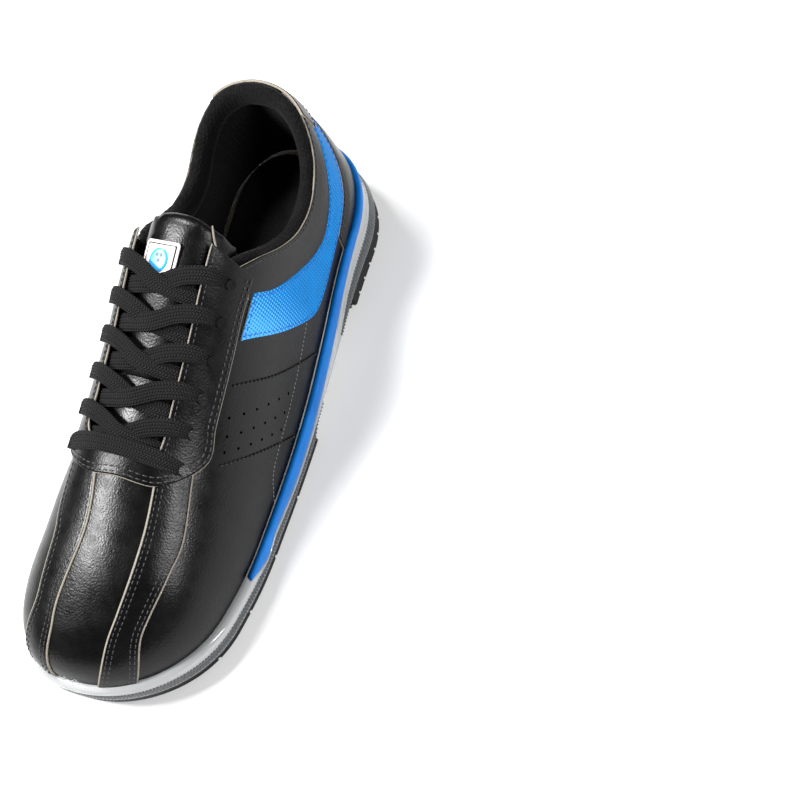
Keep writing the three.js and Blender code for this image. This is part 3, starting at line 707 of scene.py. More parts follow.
plug = ruled(*(vamp_line(SEAM_PLUG[side], PLUG_FOOT[side], 2 * side) for side in (MEDIAL, LATERAL)))
settle(leather("sewn_vamp_plug", plug, *PANEL, black_leather, full=0.1), "leather", "vamp_plug")
for side, name in SIDES:
    inner = vamp_line(SEAM_BAND[side], BAND_FOOT[side], -2 * side)
    outer = [edge(side, y) for y in (QUARTER_FRONT + 2, -80, -100, -116)] + [
        toe_point(BAND_FOOT[side] + side * 34), toe_point(BAND_FOOT[side] + side * 8)]
    grids["vamp", side] = ruled(outer, inner)
    piece = leather("sewn_vamp_side_" + name, grids["vamp", side], *PANEL, black_leather, full=0.1)
    settle(piece, "leather", "vamp_side_" + name)
    band = ruled(vamp_line(SEAM_PLUG[side], PLUG_FOOT[side]), vamp_line(SEAM_BAND[side], BAND_FOOT[side]),
                 across=2.5)
    grids["band", side] = band
    piece = leather("sewn_vamp_band_" + name, band, -1.5, 1.0, black_leather, roll=0.3)
    settle(piece, "leather", "vamp_band_" + name)
    for which in ("first", "second"):
        for distance in (1.7, 4.0):
            sew("black", inset_line(band, which, distance), 1.0)

# %% [markdown]
# The lace stay is one U-shaped piece on top of the quarters and the front of the vamp. Its holes are punched,
# with no metal eyelets, so they are cut here by a boolean with one small cylinder for each.

# %% Lace stay
HOLE_RADIUS = 2.6


def stay_lines():
    ys = [FIRST_EYELET + row * EYELET_STEP + 8 for row in range(ROWS)]
    inner_ys, outer_ys = ys + [49.5], ys + [45.5]
    inner = along_stay(MEDIAL, inner_ys[::-1], throat_half) + [top(-14, -46), top(0, -47), top(15, -45)]
    outer = along_stay(MEDIAL, outer_ys[::-1], stay_half) + [top(-22, -58), top(0, -59), top(21, -57)]
    return inner + along_stay(LATERAL, inner_ys, throat_half), outer + along_stay(LATERAL, outer_ys, stay_half)


def punch(piece, centres, radius, depth=8.0):
    """Cuts round holes straight through a sheet."""
    work = bmesh.new()
    for centre in centres:
        turn = Vector(face_normal(centre)).to_track_quat("Z", "Y").to_matrix().to_4x4()
        bmesh.ops.create_cone(work, cap_ends=True, segments=20, radius1=radius * MM, radius2=radius * MM,
                              depth=depth * MM, matrix=Matrix.Translation(Vector(centre) * MM) @ turn)
    mesh = bpy.data.meshes.new("punch")
    work.to_mesh(mesh)
    work.free()
    cutter = bpy.data.objects.new("punch", mesh)
    bpy.context.collection.objects.link(cutter)
    cut = piece.modifiers.new("punch", "BOOLEAN")
    cut.operation, cut.object, cut.solver = "DIFFERENCE", cutter, "EXACT"
    evaluated = piece.evaluated_get(bpy.context.evaluated_depsgraph_get())
    piece.data = bpy.data.meshes.new_from_object(evaluated)
    piece.modifiers.clear()
    bpy.data.objects.remove(cutter)


def eyelet(side, row):
    y = FIRST_EYELET + row * EYELET_STEP
    return top(float(ridge_x(y)) + side * float(eyelet_half(y)), y)


stay_grid = ruled(*stay_lines(), spacing=3.0, across=3.0)
lace_stay = leather("punched_lace_stay", stay_grid, *OVERLAY, black_leather, full=0.2)
punch(lace_stay, [eyelet(side, row) for side, _ in SIDES for row in range(ROWS)], HOLE_RADIUS)
settle(lace_stay, "leather", "eyestay")
for distance in (1.8, 4.3):
    sew("black", inset_line(stay_grid, "second", distance), 1.5, pitch=3.4, length=2.7, radius=0.36)
sew("black", inset_line(stay_grid, "first", 2.2), 1.45)

# %% [markdown]
# The bright blue strap starts behind the lace stay, dips to the sole's band and sweeps up round the ankle to
# the heel tab. Between it and the opening lies a black collar panel.

# %% Straps, collar panels, heel
COLLAR = [(46, 109), (57, 101), (70, 88), (84, 78), (100, 76), (118, 85), (134, 96), (143, 100)]
COLLAR_LOW = [(37, 97), (49, 85), (64, 72), (79, 61), (93, 57), (108, 62), (122, 75), (133, 87)]
STRAP_TOP = [(50, 83), (65, 70), (80, 59), (93, 55), (106, 60), (118, 71), (128, 81), (136, 89)]
STRAP_LOW = [(38, 62), (56, 42), (70, 38), (86, 39), (104, 43), (120, 52), (131, 64), (140, 82)]
for side, name in SIDES:
    front_top, front_low = along_stay(side, (41, 19), stay_half, 0.9)
    strap = ruled([front_top] + line(side, STRAP_TOP), [front_low] + line(side, STRAP_LOW), across=3.0)
    grids["strap", side] = strap
    piece = leather("sewn_strap_" + name, strap, *OVERLAY, dotted_blue, full=0.15)
    settle(piece, "blue_upper", "strap_" + name)
    collar = ruled(line(side, COLLAR), line(side, COLLAR_LOW, -2), across=3.0)
    grids["collar", side] = collar
    piece = leather("sewn_collar_panel_" + name, collar, -0.2, 1.0, black_leather)
    settle(piece, "leather", "collar_panel_" + name)
    for which in ("first", "second", "start"):
        sew("blue", inset_line(strap, which, 1.8), 1.45, pitch=3.2)
    sew("black", inset_line(collar, "first", 2.0), 1.0)



def round_heel(stations, back):
    """A guide line from the outer side round the heel to the inner side, from (y, z) stations of one side."""
    return line(LATERAL, stations) + [heel_back(back)] + line(MEDIAL, stations[::-1])


heel_low = [edge(LATERAL, 98), edge(LATERAL, 126), heel_back(35.3), edge(MEDIAL, 126), edge(MEDIAL, 98)]
heel_grid = ruled(heel_low, round_heel([(100, 40.5), (124, 53.5), (139, 73)], 88))
settle(leather("sewn_heel_cover", heel_grid, -0.3, 1.2, black_leather, full=0.8), "leather", "heel_cover")
for distance in (1.8, 4.0):
    sew("black", inset_line(heel_grid, "second", distance), 1.25)
tab_grid = ruled(round_heel([(134, 84), (143, 84)], 83), round_heel([(134, 97.5), (143, 101)], 103),
                 spacing=2.5)
settle(leather("sewn_heel_tab", tab_grid, 0.4, 1.9, black_leather, full=0.6), "leather", "heel_tab")
sew("black", inset_line(tab_grid, "first", 2.0), 1.95)
print("upper pieces:", len(grids) + 4)

# %% [markdown]
# Cut edges are left raw: a pale line of backing about a millimetre and a half wide stands along each lapped
# edge. Each is swept as a slightly flattened rib, because the rim of the thin sheet alone is too narrow.


# %% Raw edges
def raw_edge(name, line, lift, radius=0.75, body="shoe"):
    """A rib of backing along a line of surface points."""
    length = path_length(line)
    path = walk(line, np.linspace(0, length, int(length / 2.5) + 3))
    normals = face_normal(path)
    across = np.cross(unit(np.gradient(path, axis=0)), normals)
    turn = np.arange(8)[:, None] * math.pi / 4
    rings = []
    for k, (p, n, side) in enumerate(zip(path, normals, across)):
        thick = radius * (0.6 if k in (0, len(path) - 1) else 1)
        rings.append(p + n * lift + thick * (np.cos(turn) * side + 0.75 * np.sin(turn) * n))
    return settle(capped_tube("raw_edge_" + name, rings, [edge_backing]), "leather", body=body)


for side, name in SIDES:
    raw_edge("band_inner_" + name, inset_line(grids["band", side], "first", 0.1), 0.35)
    raw_edge("band_outer_" + name, inset_line(grids["band", side], "second", 0.1), 0.35)
    raw_edge("collar_front_" + name, inset_line(grids["collar", side], "start", 0.1), 0.5, 0.55)
    raw_edge("collar_top_" + name, inset_line(grids["collar", side], "first", 0.1), 0.4, 0.3)
seam = [over_instep(x, y, 0) for x, y in ((25, 40), (24, 46), (21, 52), (19, 57))]
raw_edge("tongue_seam", smooth(seam, np.linspace(0, 1, 12)), -3.6, 0.5, body="tongue")
raw_edge("throat", inset_line(stay_grid, "first", 0.1), 0.7, 0.55)
raw_edge("stay_outer", inset_line(stay_grid, "second", 0.1), 0.7, 0.5)
raw_edge("heel_cover", inset_line(heel_grid, "second", 0.1), 0.6, 0.6)
raw_edge("heel_tab_lateral", inset_line(tab_grid, "start", 0.1), 1.2, 0.55)
raw_edge("heel_tab_medial", inset_line(tab_grid, "end", 0.1), 1.2, 0.55)

# %% [markdown]
# ## Padding: collar, tongue and insole
# Soft parts are foam under cloth. The collar roll and the tongue start a little slim, are remeshed to even faces of
# about 3 mm, and are blown up by the cloth solver for twenty frames with gravity off, which rounds them the way
# foam fills a cover.
# How far a point may move is capped, so the pad keeps to its space.


# %% Inflating a pad
def evaluated_mesh(piece):
    return bpy.data.meshes.new_from_object(piece.evaluated_get(bpy.context.evaluated_depsgraph_get()))


def apply_all(piece):
    piece.data = evaluated_mesh(piece)
    piece.modifiers.clear()


def coordinates(mesh):
    flat = np.empty(len(mesh.vertices) * 3)
    mesh.vertices.foreach_get("co", flat)
    return flat.reshape(-1, 3)


def inflate(piece, cap_mm, voxel_mm=3.0, pressure=4.0, frames=20):
    """Remeshes a closed pad and lets cloth pressure round it, no point moving further than the cap."""
    remesh = piece.modifiers.new("even", "REMESH")
    remesh.mode, remesh.voxel_size = "VOXEL", voxel_mm * MM
    apply_all(piece)
    start = coordinates(piece.data)
    cloth = piece.modifiers.new("foam", "CLOTH")
    cloth.settings.use_pressure = True
    cloth.settings.uniform_pressure_force = pressure
    cloth.settings.effector_weights.gravity = 0
    cloth.settings.quality = 6
    scene = bpy.context.scene
    for frame_number in range(1, frames + 1):
        scene.frame_set(frame_number)
    moved = coordinates(evaluated_mesh(piece)) - start
    piece.modifiers.clear()
    far = np.linalg.norm(moved, axis=1, keepdims=True)
    moved *= np.minimum(1, cap_mm * MM / np.maximum(far, 1e-9))
    piece.data.vertices.foreach_set("co", (start + moved).ravel())
    print(piece.name, "swelled by up to", round(float(far.max()) / MM, 1), "mm, capped at", cap_mm)
    scene.frame_set(1)
    piece.modifiers.new("round", "SUBSURF").levels = 1
    apply_all(piece)
    piece.data.shade_smooth()


# %% Collar roll and lining
COLLAR_ROUTE = [(38, 113), (47, 109), (57, 101.5), (70, 88.5), (84, 78), (100, 76), (118, 85), (134, 96),
                (143, 100)]
COLLAR_BACK, ROLL_DROPS = 101.5, (7, 11, 15)


def around_collar(drop, count):
    """Points on the outer face a distance below the collar's edge, from side to side round the heel."""
    knots = line(LATERAL, COLLAR_ROUTE, -drop) + [heel_back(COLLAR_BACK - drop)]
    knots += line(MEDIAL, COLLAR_ROUTE[::-1], -drop)
    return press(smooth(knots, np.linspace(0, 1, count)))


def collar_roll(count=110, around=24):
    """The roll stands proud of the leather edge and swells out over it; below the edge it stays inside."""
    levels = np.array([around_collar(drop, count) for drop in ROLL_DROPS])
    flat = unit(face_normal(levels[0]) * (1, 1, 0.25))
    rings = []
    for i in range(count):
        from_end = min(i, count - 1 - i)
        slim = math.sqrt(min(1.0, from_end / 9 + 0.05))
        tuck = 2.6 * (1 - float(step(from_end, 6, 14)))
        ring = []
        for turn in np.linspace(0, 2 * math.pi, around + 1)[:-1]:
            drop = 4.5 - 9.3 * slim * math.cos(turn)
            if drop < 7:
                base = levels[0, i] + np.array([0, 0, 7 - drop])
            else:
                part = (drop - 7) / 4
                low = int(min(part, 1))
                base = levels[low, i] * (1 - part + low) + levels[low + 1, i] * (part - low)
            bulge = 4.6 - 2.6 * float(step(drop, -0.5, 4))
            reach = bulge if math.sin(turn) > 0 else 4.6
            ring.append(base + flat[i] * (reach * math.sin(turn) * slim - 4.2 - tuck))
        rings.append(ring)
    piece = capped_tube("padded_collar_roll", rings, [black_knit])
    inflate(piece, 1.4)
    return piece


roll = collar_roll()
settle(roll, "knit", "collar_padding")

LINING_STATIONS = (143, 118, 90, 60, 28, -4, -34, -64, -96, -124, -142)
LINING_COLLAR = [(143, 98), (118, 82), (94, 73), (72, 82), (50, 98)]
LINING_THROAT = ((30, -56), (18, -61), (8, -63), (-3, -63.5), (-12, -63), (-20, -61), (-31, -57))
LINING_SKINS = (-5.6, -4.2)

lining_low = [heel_back(36)] + [edge(LATERAL, y, 1) for y in LINING_STATIONS]
lining_low += [press(np.array([-9, -160, 27]))] + [edge(MEDIAL, y, 1) for y in LINING_STATIONS[::-1]]
lining_side = {side: line(side, LINING_COLLAR) + along_stay(side, (22, -6, -32), stay_half, -6)
               for side in (LATERAL, MEDIAL)}
lining_high = [heel_back(100)] + lining_side[LATERAL] + [top(x, y) for x, y in LINING_THROAT]
lining_high += lining_side[MEDIAL][::-1]
lining_grid = ruled(lining_low, lining_high, closed=True)
lining_normal = face_normal(lining_grid)
lining = two_skins("knit_lining", *(lining_grid + depth * lining_normal for depth in LINING_SKINS),
                   [black_knit], closed=True)
settle(lining, "knit", "lining")

# %% [markdown]
# The tongue is padded too: leather outside, foam inside, thickest at its free end above the laces. Its sewn
# end lies under the front of the lace stay.

# %% Tongue and footbed
tongue_half = through([(-54, 23), (-20, 26), (25, 28), (44, 32), (53, 33), (58, 29)])
tongue_thick = through([(-54, 1.6), (0, 2.2), (35, 3.4), (52, 4.6), (57, 3.2)])
footbed_cup = through([(-138, 0), (20, 1.0), (138, 4.5)])


def signed_power(value, power):
    return math.copysign(abs(value) ** power, value)


def tongue_body(count=44, around=26):
    rings = []
    for y in np.linspace(-54, 58, count):
        half, thick = float(tongue_half(y)), float(tongue_thick(y))
        ring = []
        for turn in np.arange(around) * 2 * math.pi / around:
            lift = -4.6 - thick + thick * signed_power(math.sin(turn), 0.7)
            ring.append(over_instep(half * signed_power(math.cos(turn), 0.75), y, lift))
        rings.append(ring)
    piece = capped_tube("padded_tongue", rings, [black_leather])
    inflate(piece, 0.8)
    return piece


tongue = tongue_body()
settle(tongue, "leather", "tongue", body="tongue")


def footbed_body(across=21):
    """Rings across the footbed: a dished face with a raised rim at the heel, and a flat back."""
    f = np.concatenate([np.linspace(-1, 1, across), np.linspace(1, -1, across)])
    upper = np.arange(2 * across) < across
    rings = []
    for y in -138.4 * np.cos(np.linspace(0.03, math.pi - 0.03, 60)):
        x = float(middle(y)) + f * float(plan_half(y, 12.5))
        z = float(feather(y)) + np.where(upper, 0.8 + float(footbed_cup(y)) * np.abs(f) ** 3, -2.6)
        rings.append(np.stack([x, np.full(2 * across, y), z], -1))
    return capped_tube("padded_footbed", rings, [black_knit])


footbed = footbed_body()
settle(footbed, "knit", "footbed", body="footbed")

# %% [markdown]
# ## The lace
# One flat braid, nearly nine millimetres wide. It crosses from under one stay to the hole on the other side, row by
# row, and both ends are tucked in. The braid keeps its width direction along the instep, narrows where it is
# bunched into a punched hole, and shows lengthwise ridges with slanted strands across them.

# %% Braided lace
LACE_WIDE, LACE_THICK, LACE_AROUND = 8.8, 1.7, 72
RIDGE_MM, STRAND_MM = 1.4, 0.75
ALONG_INSTEP = np.array([0, 0.87, 0.49])


def lace_half(start, high):
    """One end of the lace, row by row upwards: (x, y, lift, width) at each bend."""
    points, side = [], start
    for row in range(ROWS):
        y = FIRST_EYELET + row * EYELET_STEP
        up, hole = y + EYELET_STEP, float(eyelet_half(y))
        points += [(side * hole, y, 0.6, 0.5), (side * (hole - 2.5), y + 2, -2.2, 0.6)]
        if row == ROWS - 1:
            points.append((side * (hole - 1), y + 9, -2.4, 0.8))
            break
        inner, far_hole = float(throat_half(y)), float(eyelet_half(up))
        points += [(side * (inner + 2), y + 4, -2.3, 0.9), (side * 13, y + 3.5, -1.6 if high else -2.4, 1),
                   (0, y + EYELET_STEP / 2 - 3, 0.4 if high else -2.0, 1),
                   (-side * 12, up - 5.5, 0.7, 1), (-side * (float(throat_half(up)) + 0.5), up - 1.5, 2.9, 1),
                   (-side * (far_hole - 2.2), up, 2.9, 0.75)]
        side = -side
    return points


def lace_route():
    hole, inner = float(eyelet_half(FIRST_EYELET)) - 1.6, float(throat_half(FIRST_EYELET))
    half_bar = ((hole, 0.75), (inner, 1), (8, 1))
    bar = [(-x, FIRST_EYELET, 2.9, w) for x, w in half_bar]
    bar += [(x, FIRST_EYELET, 2.9, w) for x, w in half_bar[::-1]]
    return lace_half(MEDIAL, False)[::-1] + bar + lace_half(LATERAL, True)


def flat_braid(name, route, material):
    """Sweeps the braid's section along a route of (x, y, lift, width) and returns the piece and its length."""
    knots = np.array([over_instep(x, y, lift) for x, y, lift, _ in route])
    widths = np.array([[w, 0, 0] for *_, w in route], float)
    ts = np.linspace(0, 1, len(route) * 9)
    centres, width = smooth(knots, ts), np.clip(smooth(widths, ts)[:, 0], 0.45, 1.05)
    run = run_along(centres)
    turn = np.linspace(0, 2 * math.pi, LACE_AROUND + 1)[:-1]
    x = np.cos(turn)
    z = np.sign(np.sin(turn)) * np.abs(np.sin(turn)) ** 0.5 * (1 + 0.4 * np.cos(x * 6 * math.pi))
    rings, previous = [], ALONG_INSTEP
    for centre, tangent, w in zip(centres, unit(np.gradient(centres, axis=0)), width):
        wide = (ALONG_INSTEP - tangent * (ALONG_INSTEP @ tangent)) * 2
        wide = unit(wide + (previous - tangent * (previous @ tangent)) * 0.6)
        previous = wide
        flat = np.cross(tangent, wide)
        half, thick = LACE_WIDE / 2 * w, LACE_THICK / 2 / math.sqrt(w)
        rings.append(centre + half * x[:, None] * wide + thick * z[:, None] * flat)
    piece = capped_tube(name, rings, [material])
    strand = piece.data.attributes.new("strand", "FLOAT_VECTOR", "POINT")
    values = [(s, math.cos(t) * LACE_WIDE / 2, 0) for s in run for t in turn] + [(0, 0, 0), (run[-1], 0, 0)]
    strand.data.foreach_set("vector", np.array(values, float).ravel())
    return piece, run[-1]


def braided_polyester():
    """Flat polyester braid: slanted strands a millimetre wide that mirror about each lengthwise ridge."""
    material, tree, shader, _ = new_material("braided_black_polyester")
    place = add(tree, "ShaderNodeAttribute", {}, attribute_name="strand").outputs["Vector"]
    parts = add(tree, "ShaderNodeSeparateXYZ", {"Vector": place})
    fold = add(tree, "ShaderNodeMath", {0: parts.outputs["Y"], 1: RIDGE_MM}, operation="PINGPONG")
    slant = add(tree, "ShaderNodeMath", {0: fold.outputs[0], 1: parts.outputs["X"]}, operation="ADD")
    strand = add(tree, "ShaderNodeMath", {0: slant.outputs[0], 1: STRAND_MM}, operation="PINGPONG").outputs[0]
    tone = add(tree, "ShaderNodeValToRGB", {"Fac": strand}, ((0.0, linear("#000000")), (0.7, linear("#1c1c1e"))))
    relief = add(tree, "ShaderNodeBump", {"Height": strand, "Strength": 1.0, "Distance": 0.0007})
    wire(tree, shader, {"Base Color": tone.outputs["Color"], "Roughness": 0.8, "Specular IOR Level": 0.25,
                        "Normal": relief.outputs["Normal"]})
    return material


lace, lace_length = flat_braid("flat_braided_lace", lace_route(), braided_polyester())
settle(lace, "braid", "lace")
print("lace through twelve holes:", round(lace_length), "mm")

# %% [markdown]
# ## The sole unit
# The cup is one moulding of clear thermoplastic rubber: a smooth bumper at the top, a knurled band below it,
# and a waist with flowing ridges. It is lofted from rings that follow the plan of the sole, each a little
# further in than the one before. The knurled band is its own fine grid, one rib every 1.8 mm.


# %% Lines of the side wall
FOXING_TIP = -74.0
foxing_low = through([(-75, 17.4), (-67, 13.2), (-60, 10.2), (-55, 10.4), (-48, 12.2), (-38, 11.6),
                      (-20, 10.2), (12, 11.4), (40, 14), (80, 20.5), (110, 26), (151, 30.5)])
arch_line = through([(3, 4.05), (9, 4.6), (14, 6.9), (22, 7.8), (35, 8), (58, 8.2), (66, 8.2), (79, 8.1),
                     (151, 8.1)])
rib_top = through([(-151, 18.2), (-125, 13.6), (-90, 10.6), (-68, 9.6), (-58, 8.8), (-48, 10.4), (-38, 9.6),
                   (-20, 8.6), (12, 9.2), (40, 10), (62, 10.4), (80, 14), (110, 17), (151, 19)])
PAD_THICK, HEEL_THICK, HEEL_BREAST, PAD_END = 4.0, 8.0, 67.0, 9.0


def outline(inset, ts):
    """Points (x, y) of the sole's plan, inset from its edge; t runs from the toe round the outer side."""
    y = -(HALF_LENGTH - inset) * np.cos(ts)
    return middle(y) + np.sign(np.sin(ts)) * plan_half(y, inset), y


def even_steps(start, end, pitch):
    """Values of t that are evenly spaced along the outline."""
    fine = np.linspace(start, end, 6000)
    run = run_along(np.stack(outline(0, fine), -1))
    return np.interp(np.linspace(0, run[-1], int(run[-1] / pitch)), run, fine)


def ring(inset, z, ts):
    x, y = outline(inset, ts)
    return np.stack([x, y, np.broadcast_to(z, y.shape)], -1)


def sole_floor(y):
    return np.where(y < 3, ground(y) + PAD_THICK + 0.05, arch_line(y))


# %% Clear cup and its knurled bands
def clear_rubber(name, tint, through_light):
    """Clear TPR: light passes through and is bent, with fine flow lines along the moulding."""
    material, tree, shader, place = new_material(name)
    flow = add(tree, "ShaderNodeTexNoise", {"Vector": place, "Scale": 60.0, "Detail": 2.0})
    bump = add(tree, "ShaderNodeBump", {"Height": flow.outputs["Fac"], "Strength": 0.15, "Distance": 0.0010})
    wire(tree, shader, {"Base Color": linear(tint), "Transmission Weight": through_light, "Roughness": 0.07,
                        "IOR": 1.5, "Normal": bump.outputs["Normal"]})
    return material


clear_tpr = clear_rubber("clear_moulded_rubber", "#eef1f2", 0.55)
# The knurled band is the same clear rubber as the cup; its darker grey tint and weaker transmission are painted
# shade.
shaded_ribbed_tpr = clear_rubber("clear_ribbed_rubber_painted_shade", "#54585b", 0.3)


def cup_rings(ts):
    """Rings of the wall from its foot upwards, over the bulge of the bumper and down its inner side."""
    y = outline(0, ts)[1]
    low, rib = sole_floor(y), rib_top(y)
    banded = step(y, FOXING_TIP - 4, FOXING_TIP + 8)
    high = (feather(y) + 0.1) * (1 - banded) + (foxing_low(y) - 0.1) * banded
    gap = high - rib
    bulge = (0.9 - 1.7 * step(y, 55, 85)) * np.clip(gap / 5, 0.1, 1)
    rows = [(1.4, low), (0.7, low + 0.4), (0.7, rib), (1.2, rib + gap * 0.12),
            (0.4 - bulge * 0.4, rib + gap * 0.3), (-bulge, rib + gap * 0.55),
            (0.1 - 0.6 * bulge, rib + gap * 0.8), (0.6, rib + gap * 0.94), (1.95, high),
            (1.98, np.maximum(high, feather(y) - 0.25)), (3.4, feather(y) - 0.05), (5.9, feather(y) - 0.4),
            (6.05, low + 4.5)]
    return [ring(inset, z, ts) for inset, z in rows]


WAIST_GROOVES = ((2.6, 0), (4.6, 0), (5.3, 0.9), (6.2, 0.9), (6.9, 0), (10.2, 0), (10.9, 0.8), (11.8, 0.8),
                 (12.5, 0), (15.8, 0), (16.4, 1.1), (18, 1.1), (24, 1.1), (30, 1.1))


def waist_rings(ts):
    """Rings of the underside: two pairs of grooves and a panel that is set back, only in the waist."""
    rows = []
    for inset, rise in WAIST_GROOVES:
        y = outline(inset, ts)[1]
        rows.append(ring(inset, sole_floor(y) + rise * step(y, 13, 17) * step(y, 64, 60), ts))
    return rows


def lofted(name, rings, materials, strips):
    """A closed body of rings; the first and the last are closed across by strips from side to side."""
    rings = np.asarray(rings)
    count, around = rings.shape[:2]
    faces = grid_faces(count, around, True).tolist()
    for start in strips:
        first = (start % count) * around
        for i in range(around // 2):
            corners = dict.fromkeys((i, i + 1, around - i - 1, (around - i) % around))
            faces.append([first + corner for corner in corners])
    return make(name, rings, faces, materials)


loop = np.linspace(0, 2 * math.pi, 261)[:-1]
cup = lofted("clear_cup_sole", waist_rings(loop)[::-1] + cup_rings(loop), [clear_tpr], (0, -1))
settle(cup, "clear_rubber", "clear_sole")


def wall_band(name, ts, low, high, profile, back, knurl, material, slot, node):
    """A band on the wall of the sole. Profile and back are insets at parts of the height; knurl is added."""
    outer, inner = [], []
    for part, tuck in profile:
        z = low + (high - low) * part
        outer.append(ring(tuck + (knurl if 0 < part < 1 else 0), z, ts))
        inner.append(ring(back[0] + back[1] * part, z, ts))
    settle(two_skins(name, np.array(inner), np.array(outer), [material]), slot, node)


def turn_at(y):
    return math.acos(-y / HALF_LENGTH)


RIB_PITCH, RIB_DEEP = 1.8, 0.36
RIBBED_PROFILE = ((0, 0.75), (0.1, 0.1), (0.35, -0.2), (0.65, -0.2), (0.9, 0.1), (1, 0.75))
for name, start, end in (("forefoot", -turn_at(26), turn_at(26)), ("heel", turn_at(62), 2 * math.pi - turn_at(62))):
    ts = even_steps(start, end, RIB_PITCH / 4)
    ribs = RIB_DEEP * (1 - np.cos(np.arange(len(ts)) * math.pi / 2))
    station = outline(0, ts)[1]
    low = sole_floor(station) + 0.5
    wall_band("knurled_band_" + name, ts, low, np.maximum(rib_top(station), low + 0.6), RIBBED_PROFILE, (1.3, 0),
              ribs, shaded_ribbed_tpr, "clear_rubber", "clear_sole")

# %% [markdown]
# The blue band is moulded round the wall from the waist to the heel and over to the other side. Its front ends
# drop in a notch below the ball of the foot. The pads are solid rubber, so they get an even colour and a grain.


# %% Foxing band and the rubbers
def moulded_rubber(name, dark, light, rough):
    """Solid rubber: one even colour, a fine spark-eroded mould grain and slight scuffing."""
    material, tree, shader, place = new_material(name)
    scuff = add(tree, "ShaderNodeTexNoise", {"Vector": place, "Scale": 90.0, "Detail": 4.0}).outputs["Fac"]
    grain = add(tree, "ShaderNodeTexNoise", {"Vector": place, "Scale": 2600.0, "Detail": 2.0})
    tone = add(tree, "ShaderNodeValToRGB", {"Fac": scuff}, ((0.3, linear(dark)), (0.7, linear(light))))
    wear = add(tree, "ShaderNodeValToRGB", {"Fac": scuff}, ((0.3, grey(rough)), (0.75, grey(rough + 0.15))))
    bump = add(tree, "ShaderNodeBump", {"Height": grain.outputs["Fac"], "Strength": 0.25, "Distance": 0.00008})
    wire(tree, shader, {"Base Color": tone.outputs["Color"], "Roughness": wear.outputs["Color"],
                        "Specular IOR Level": 0.25, "Normal": bump.outputs["Normal"]})
    return material


blue_rubber = moulded_rubber("blue_moulded_rubber", "#0344dc", "#0852ee", 0.4)
blue_foxing = moulded_rubber("blue_band_rubber", "#0066b8", "#0074cc", 0.3)
black_rubber = moulded_rubber("black_moulded_rubber", "#0c0c0d", "#1b1b1c", 0.5)

FOXING_PROFILE = ((0, 0.5), (0.06, 0.05), (0.2, -0.35), (0.5, -0.55), (0.8, -0.35), (0.94, 0.1), (1, 0.6))
ts = even_steps(turn_at(FOXING_TIP), 2 * math.pi - turn_at(FOXING_TIP), 2.2)
station = outline(0, ts)[1]
wall_band("blue_foxing_band", ts, foxing_low(station), feather(station) + 0.25, FOXING_PROFILE, (1.9, 0.8), 0,
          blue_foxing, "blue_rubber", "foxing_band")

# %% [markdown]
# The pads that touch the floor are cut with herringbone grooves. The outline, the insert holes and the
# edges of every lug go into one flat triangulation; each triangle is then either at floor level or at the
# bottom of a groove, and upright faces join the two levels.

# %% Lugged pads
LUG_PITCH, LUG_WIDE, ZIG_WIDE, ZIG_DEEP, GROOVE_DEEP = 5.2, 3.3, 13.5, 11.0, 1.3


def inside(points, polygon):
    """Whether each (x, y) lies inside a polygon, by counting crossings."""
    x, y = points[:, 0], points[:, 1]
    hit = np.zeros(len(points), bool)
    for (ax, ay), (bx, by) in zip(polygon, np.roll(polygon, -1, axis=0)):
        if ay != by:
            hit ^= ((ay > y) != (by > y)) & (x < (bx - ax) * (y - ay) / (by - ay) + ax)
    return hit


def zig(x):
    return ZIG_DEEP * np.abs((x / ZIG_WIDE + 100.5) % 2 - 1)


def herringbone_lines(y_from, y_to):
    xs = np.arange(-5.5, 6) * ZIG_WIDE
    starts = np.arange(y_from - ZIG_DEEP, y_to + LUG_PITCH, LUG_PITCH)
    return [np.stack([xs, zig(xs) + k + extra], -1) for k in starts for extra in (0, LUG_WIDE)], starts[0]


def lugged_pad(name, boundary, holes, lines, is_groove, low, high, material, depth=GROOVE_DEEP):
    """A pad with cut grooves: flat triangulation, two floor levels, upright walls, flat back."""
    points, edges = [], []
    for shape, closed in [(boundary, True)] + [(h, True) for h in holes] + [(one, False) for one in lines]:
        first, count = len(points), len(shape)
        points += [Vector((float(x), float(y))) for x, y in shape]
        edges += [(first + i, first + (i + 1) % count) for i in range(count if closed else count - 1)]
    flat, _, faces, *_ = delaunay_2d_cdt(points, edges, [], 0, 1e-4)
    flat = np.array([tuple(v) for v in flat])
    faces = np.array([f for f in faces if len(f) == 3])
    centres = flat[faces].mean(1)
    keep = inside(centres, np.asarray(boundary))
    for hole in holes:
        keep &= ~inside(centres, np.asarray(hole))
    faces, centres = faces[keep], centres[keep]
    groove = is_groove(centres)
    floor = low(flat[:, 1])
    levels = [floor, floor + depth, high(flat[:, 1])]
    count = len(flat)
    body = np.concatenate([np.column_stack([flat, z]) for z in levels])
    result = [[int(v) + count * int(g) for v in f] for f, g in zip(faces, groove)]
    result += [[int(v) + 2 * count for v in f[::-1]] for f in faces]
    sides = {}
    for f, g in zip(faces, groove):
        for a, b in ((f[0], f[1]), (f[1], f[2]), (f[2], f[0])):
            sides.setdefault((min(a, b), max(a, b)), []).append(int(g))
    for (a, b), level in sides.items():
        a, b = int(a), int(b)
        if len(level) == 1:
            result.append([a + count * level[0], b + count * level[0], b + 2 * count, a + 2 * count])
        elif level[0] != level[1]:
            result.append([a, b, b + count, a + count])
    used = np.unique(np.concatenate([np.array(f) for f in result]))
    renumber = np.full(len(body), -1)
    renumber[used] = np.arange(len(used))
    piece = make(name, body[used], [[int(renumber[v]) for v in f] for f in result], [material])
    piece.data.shade_flat()
    return piece


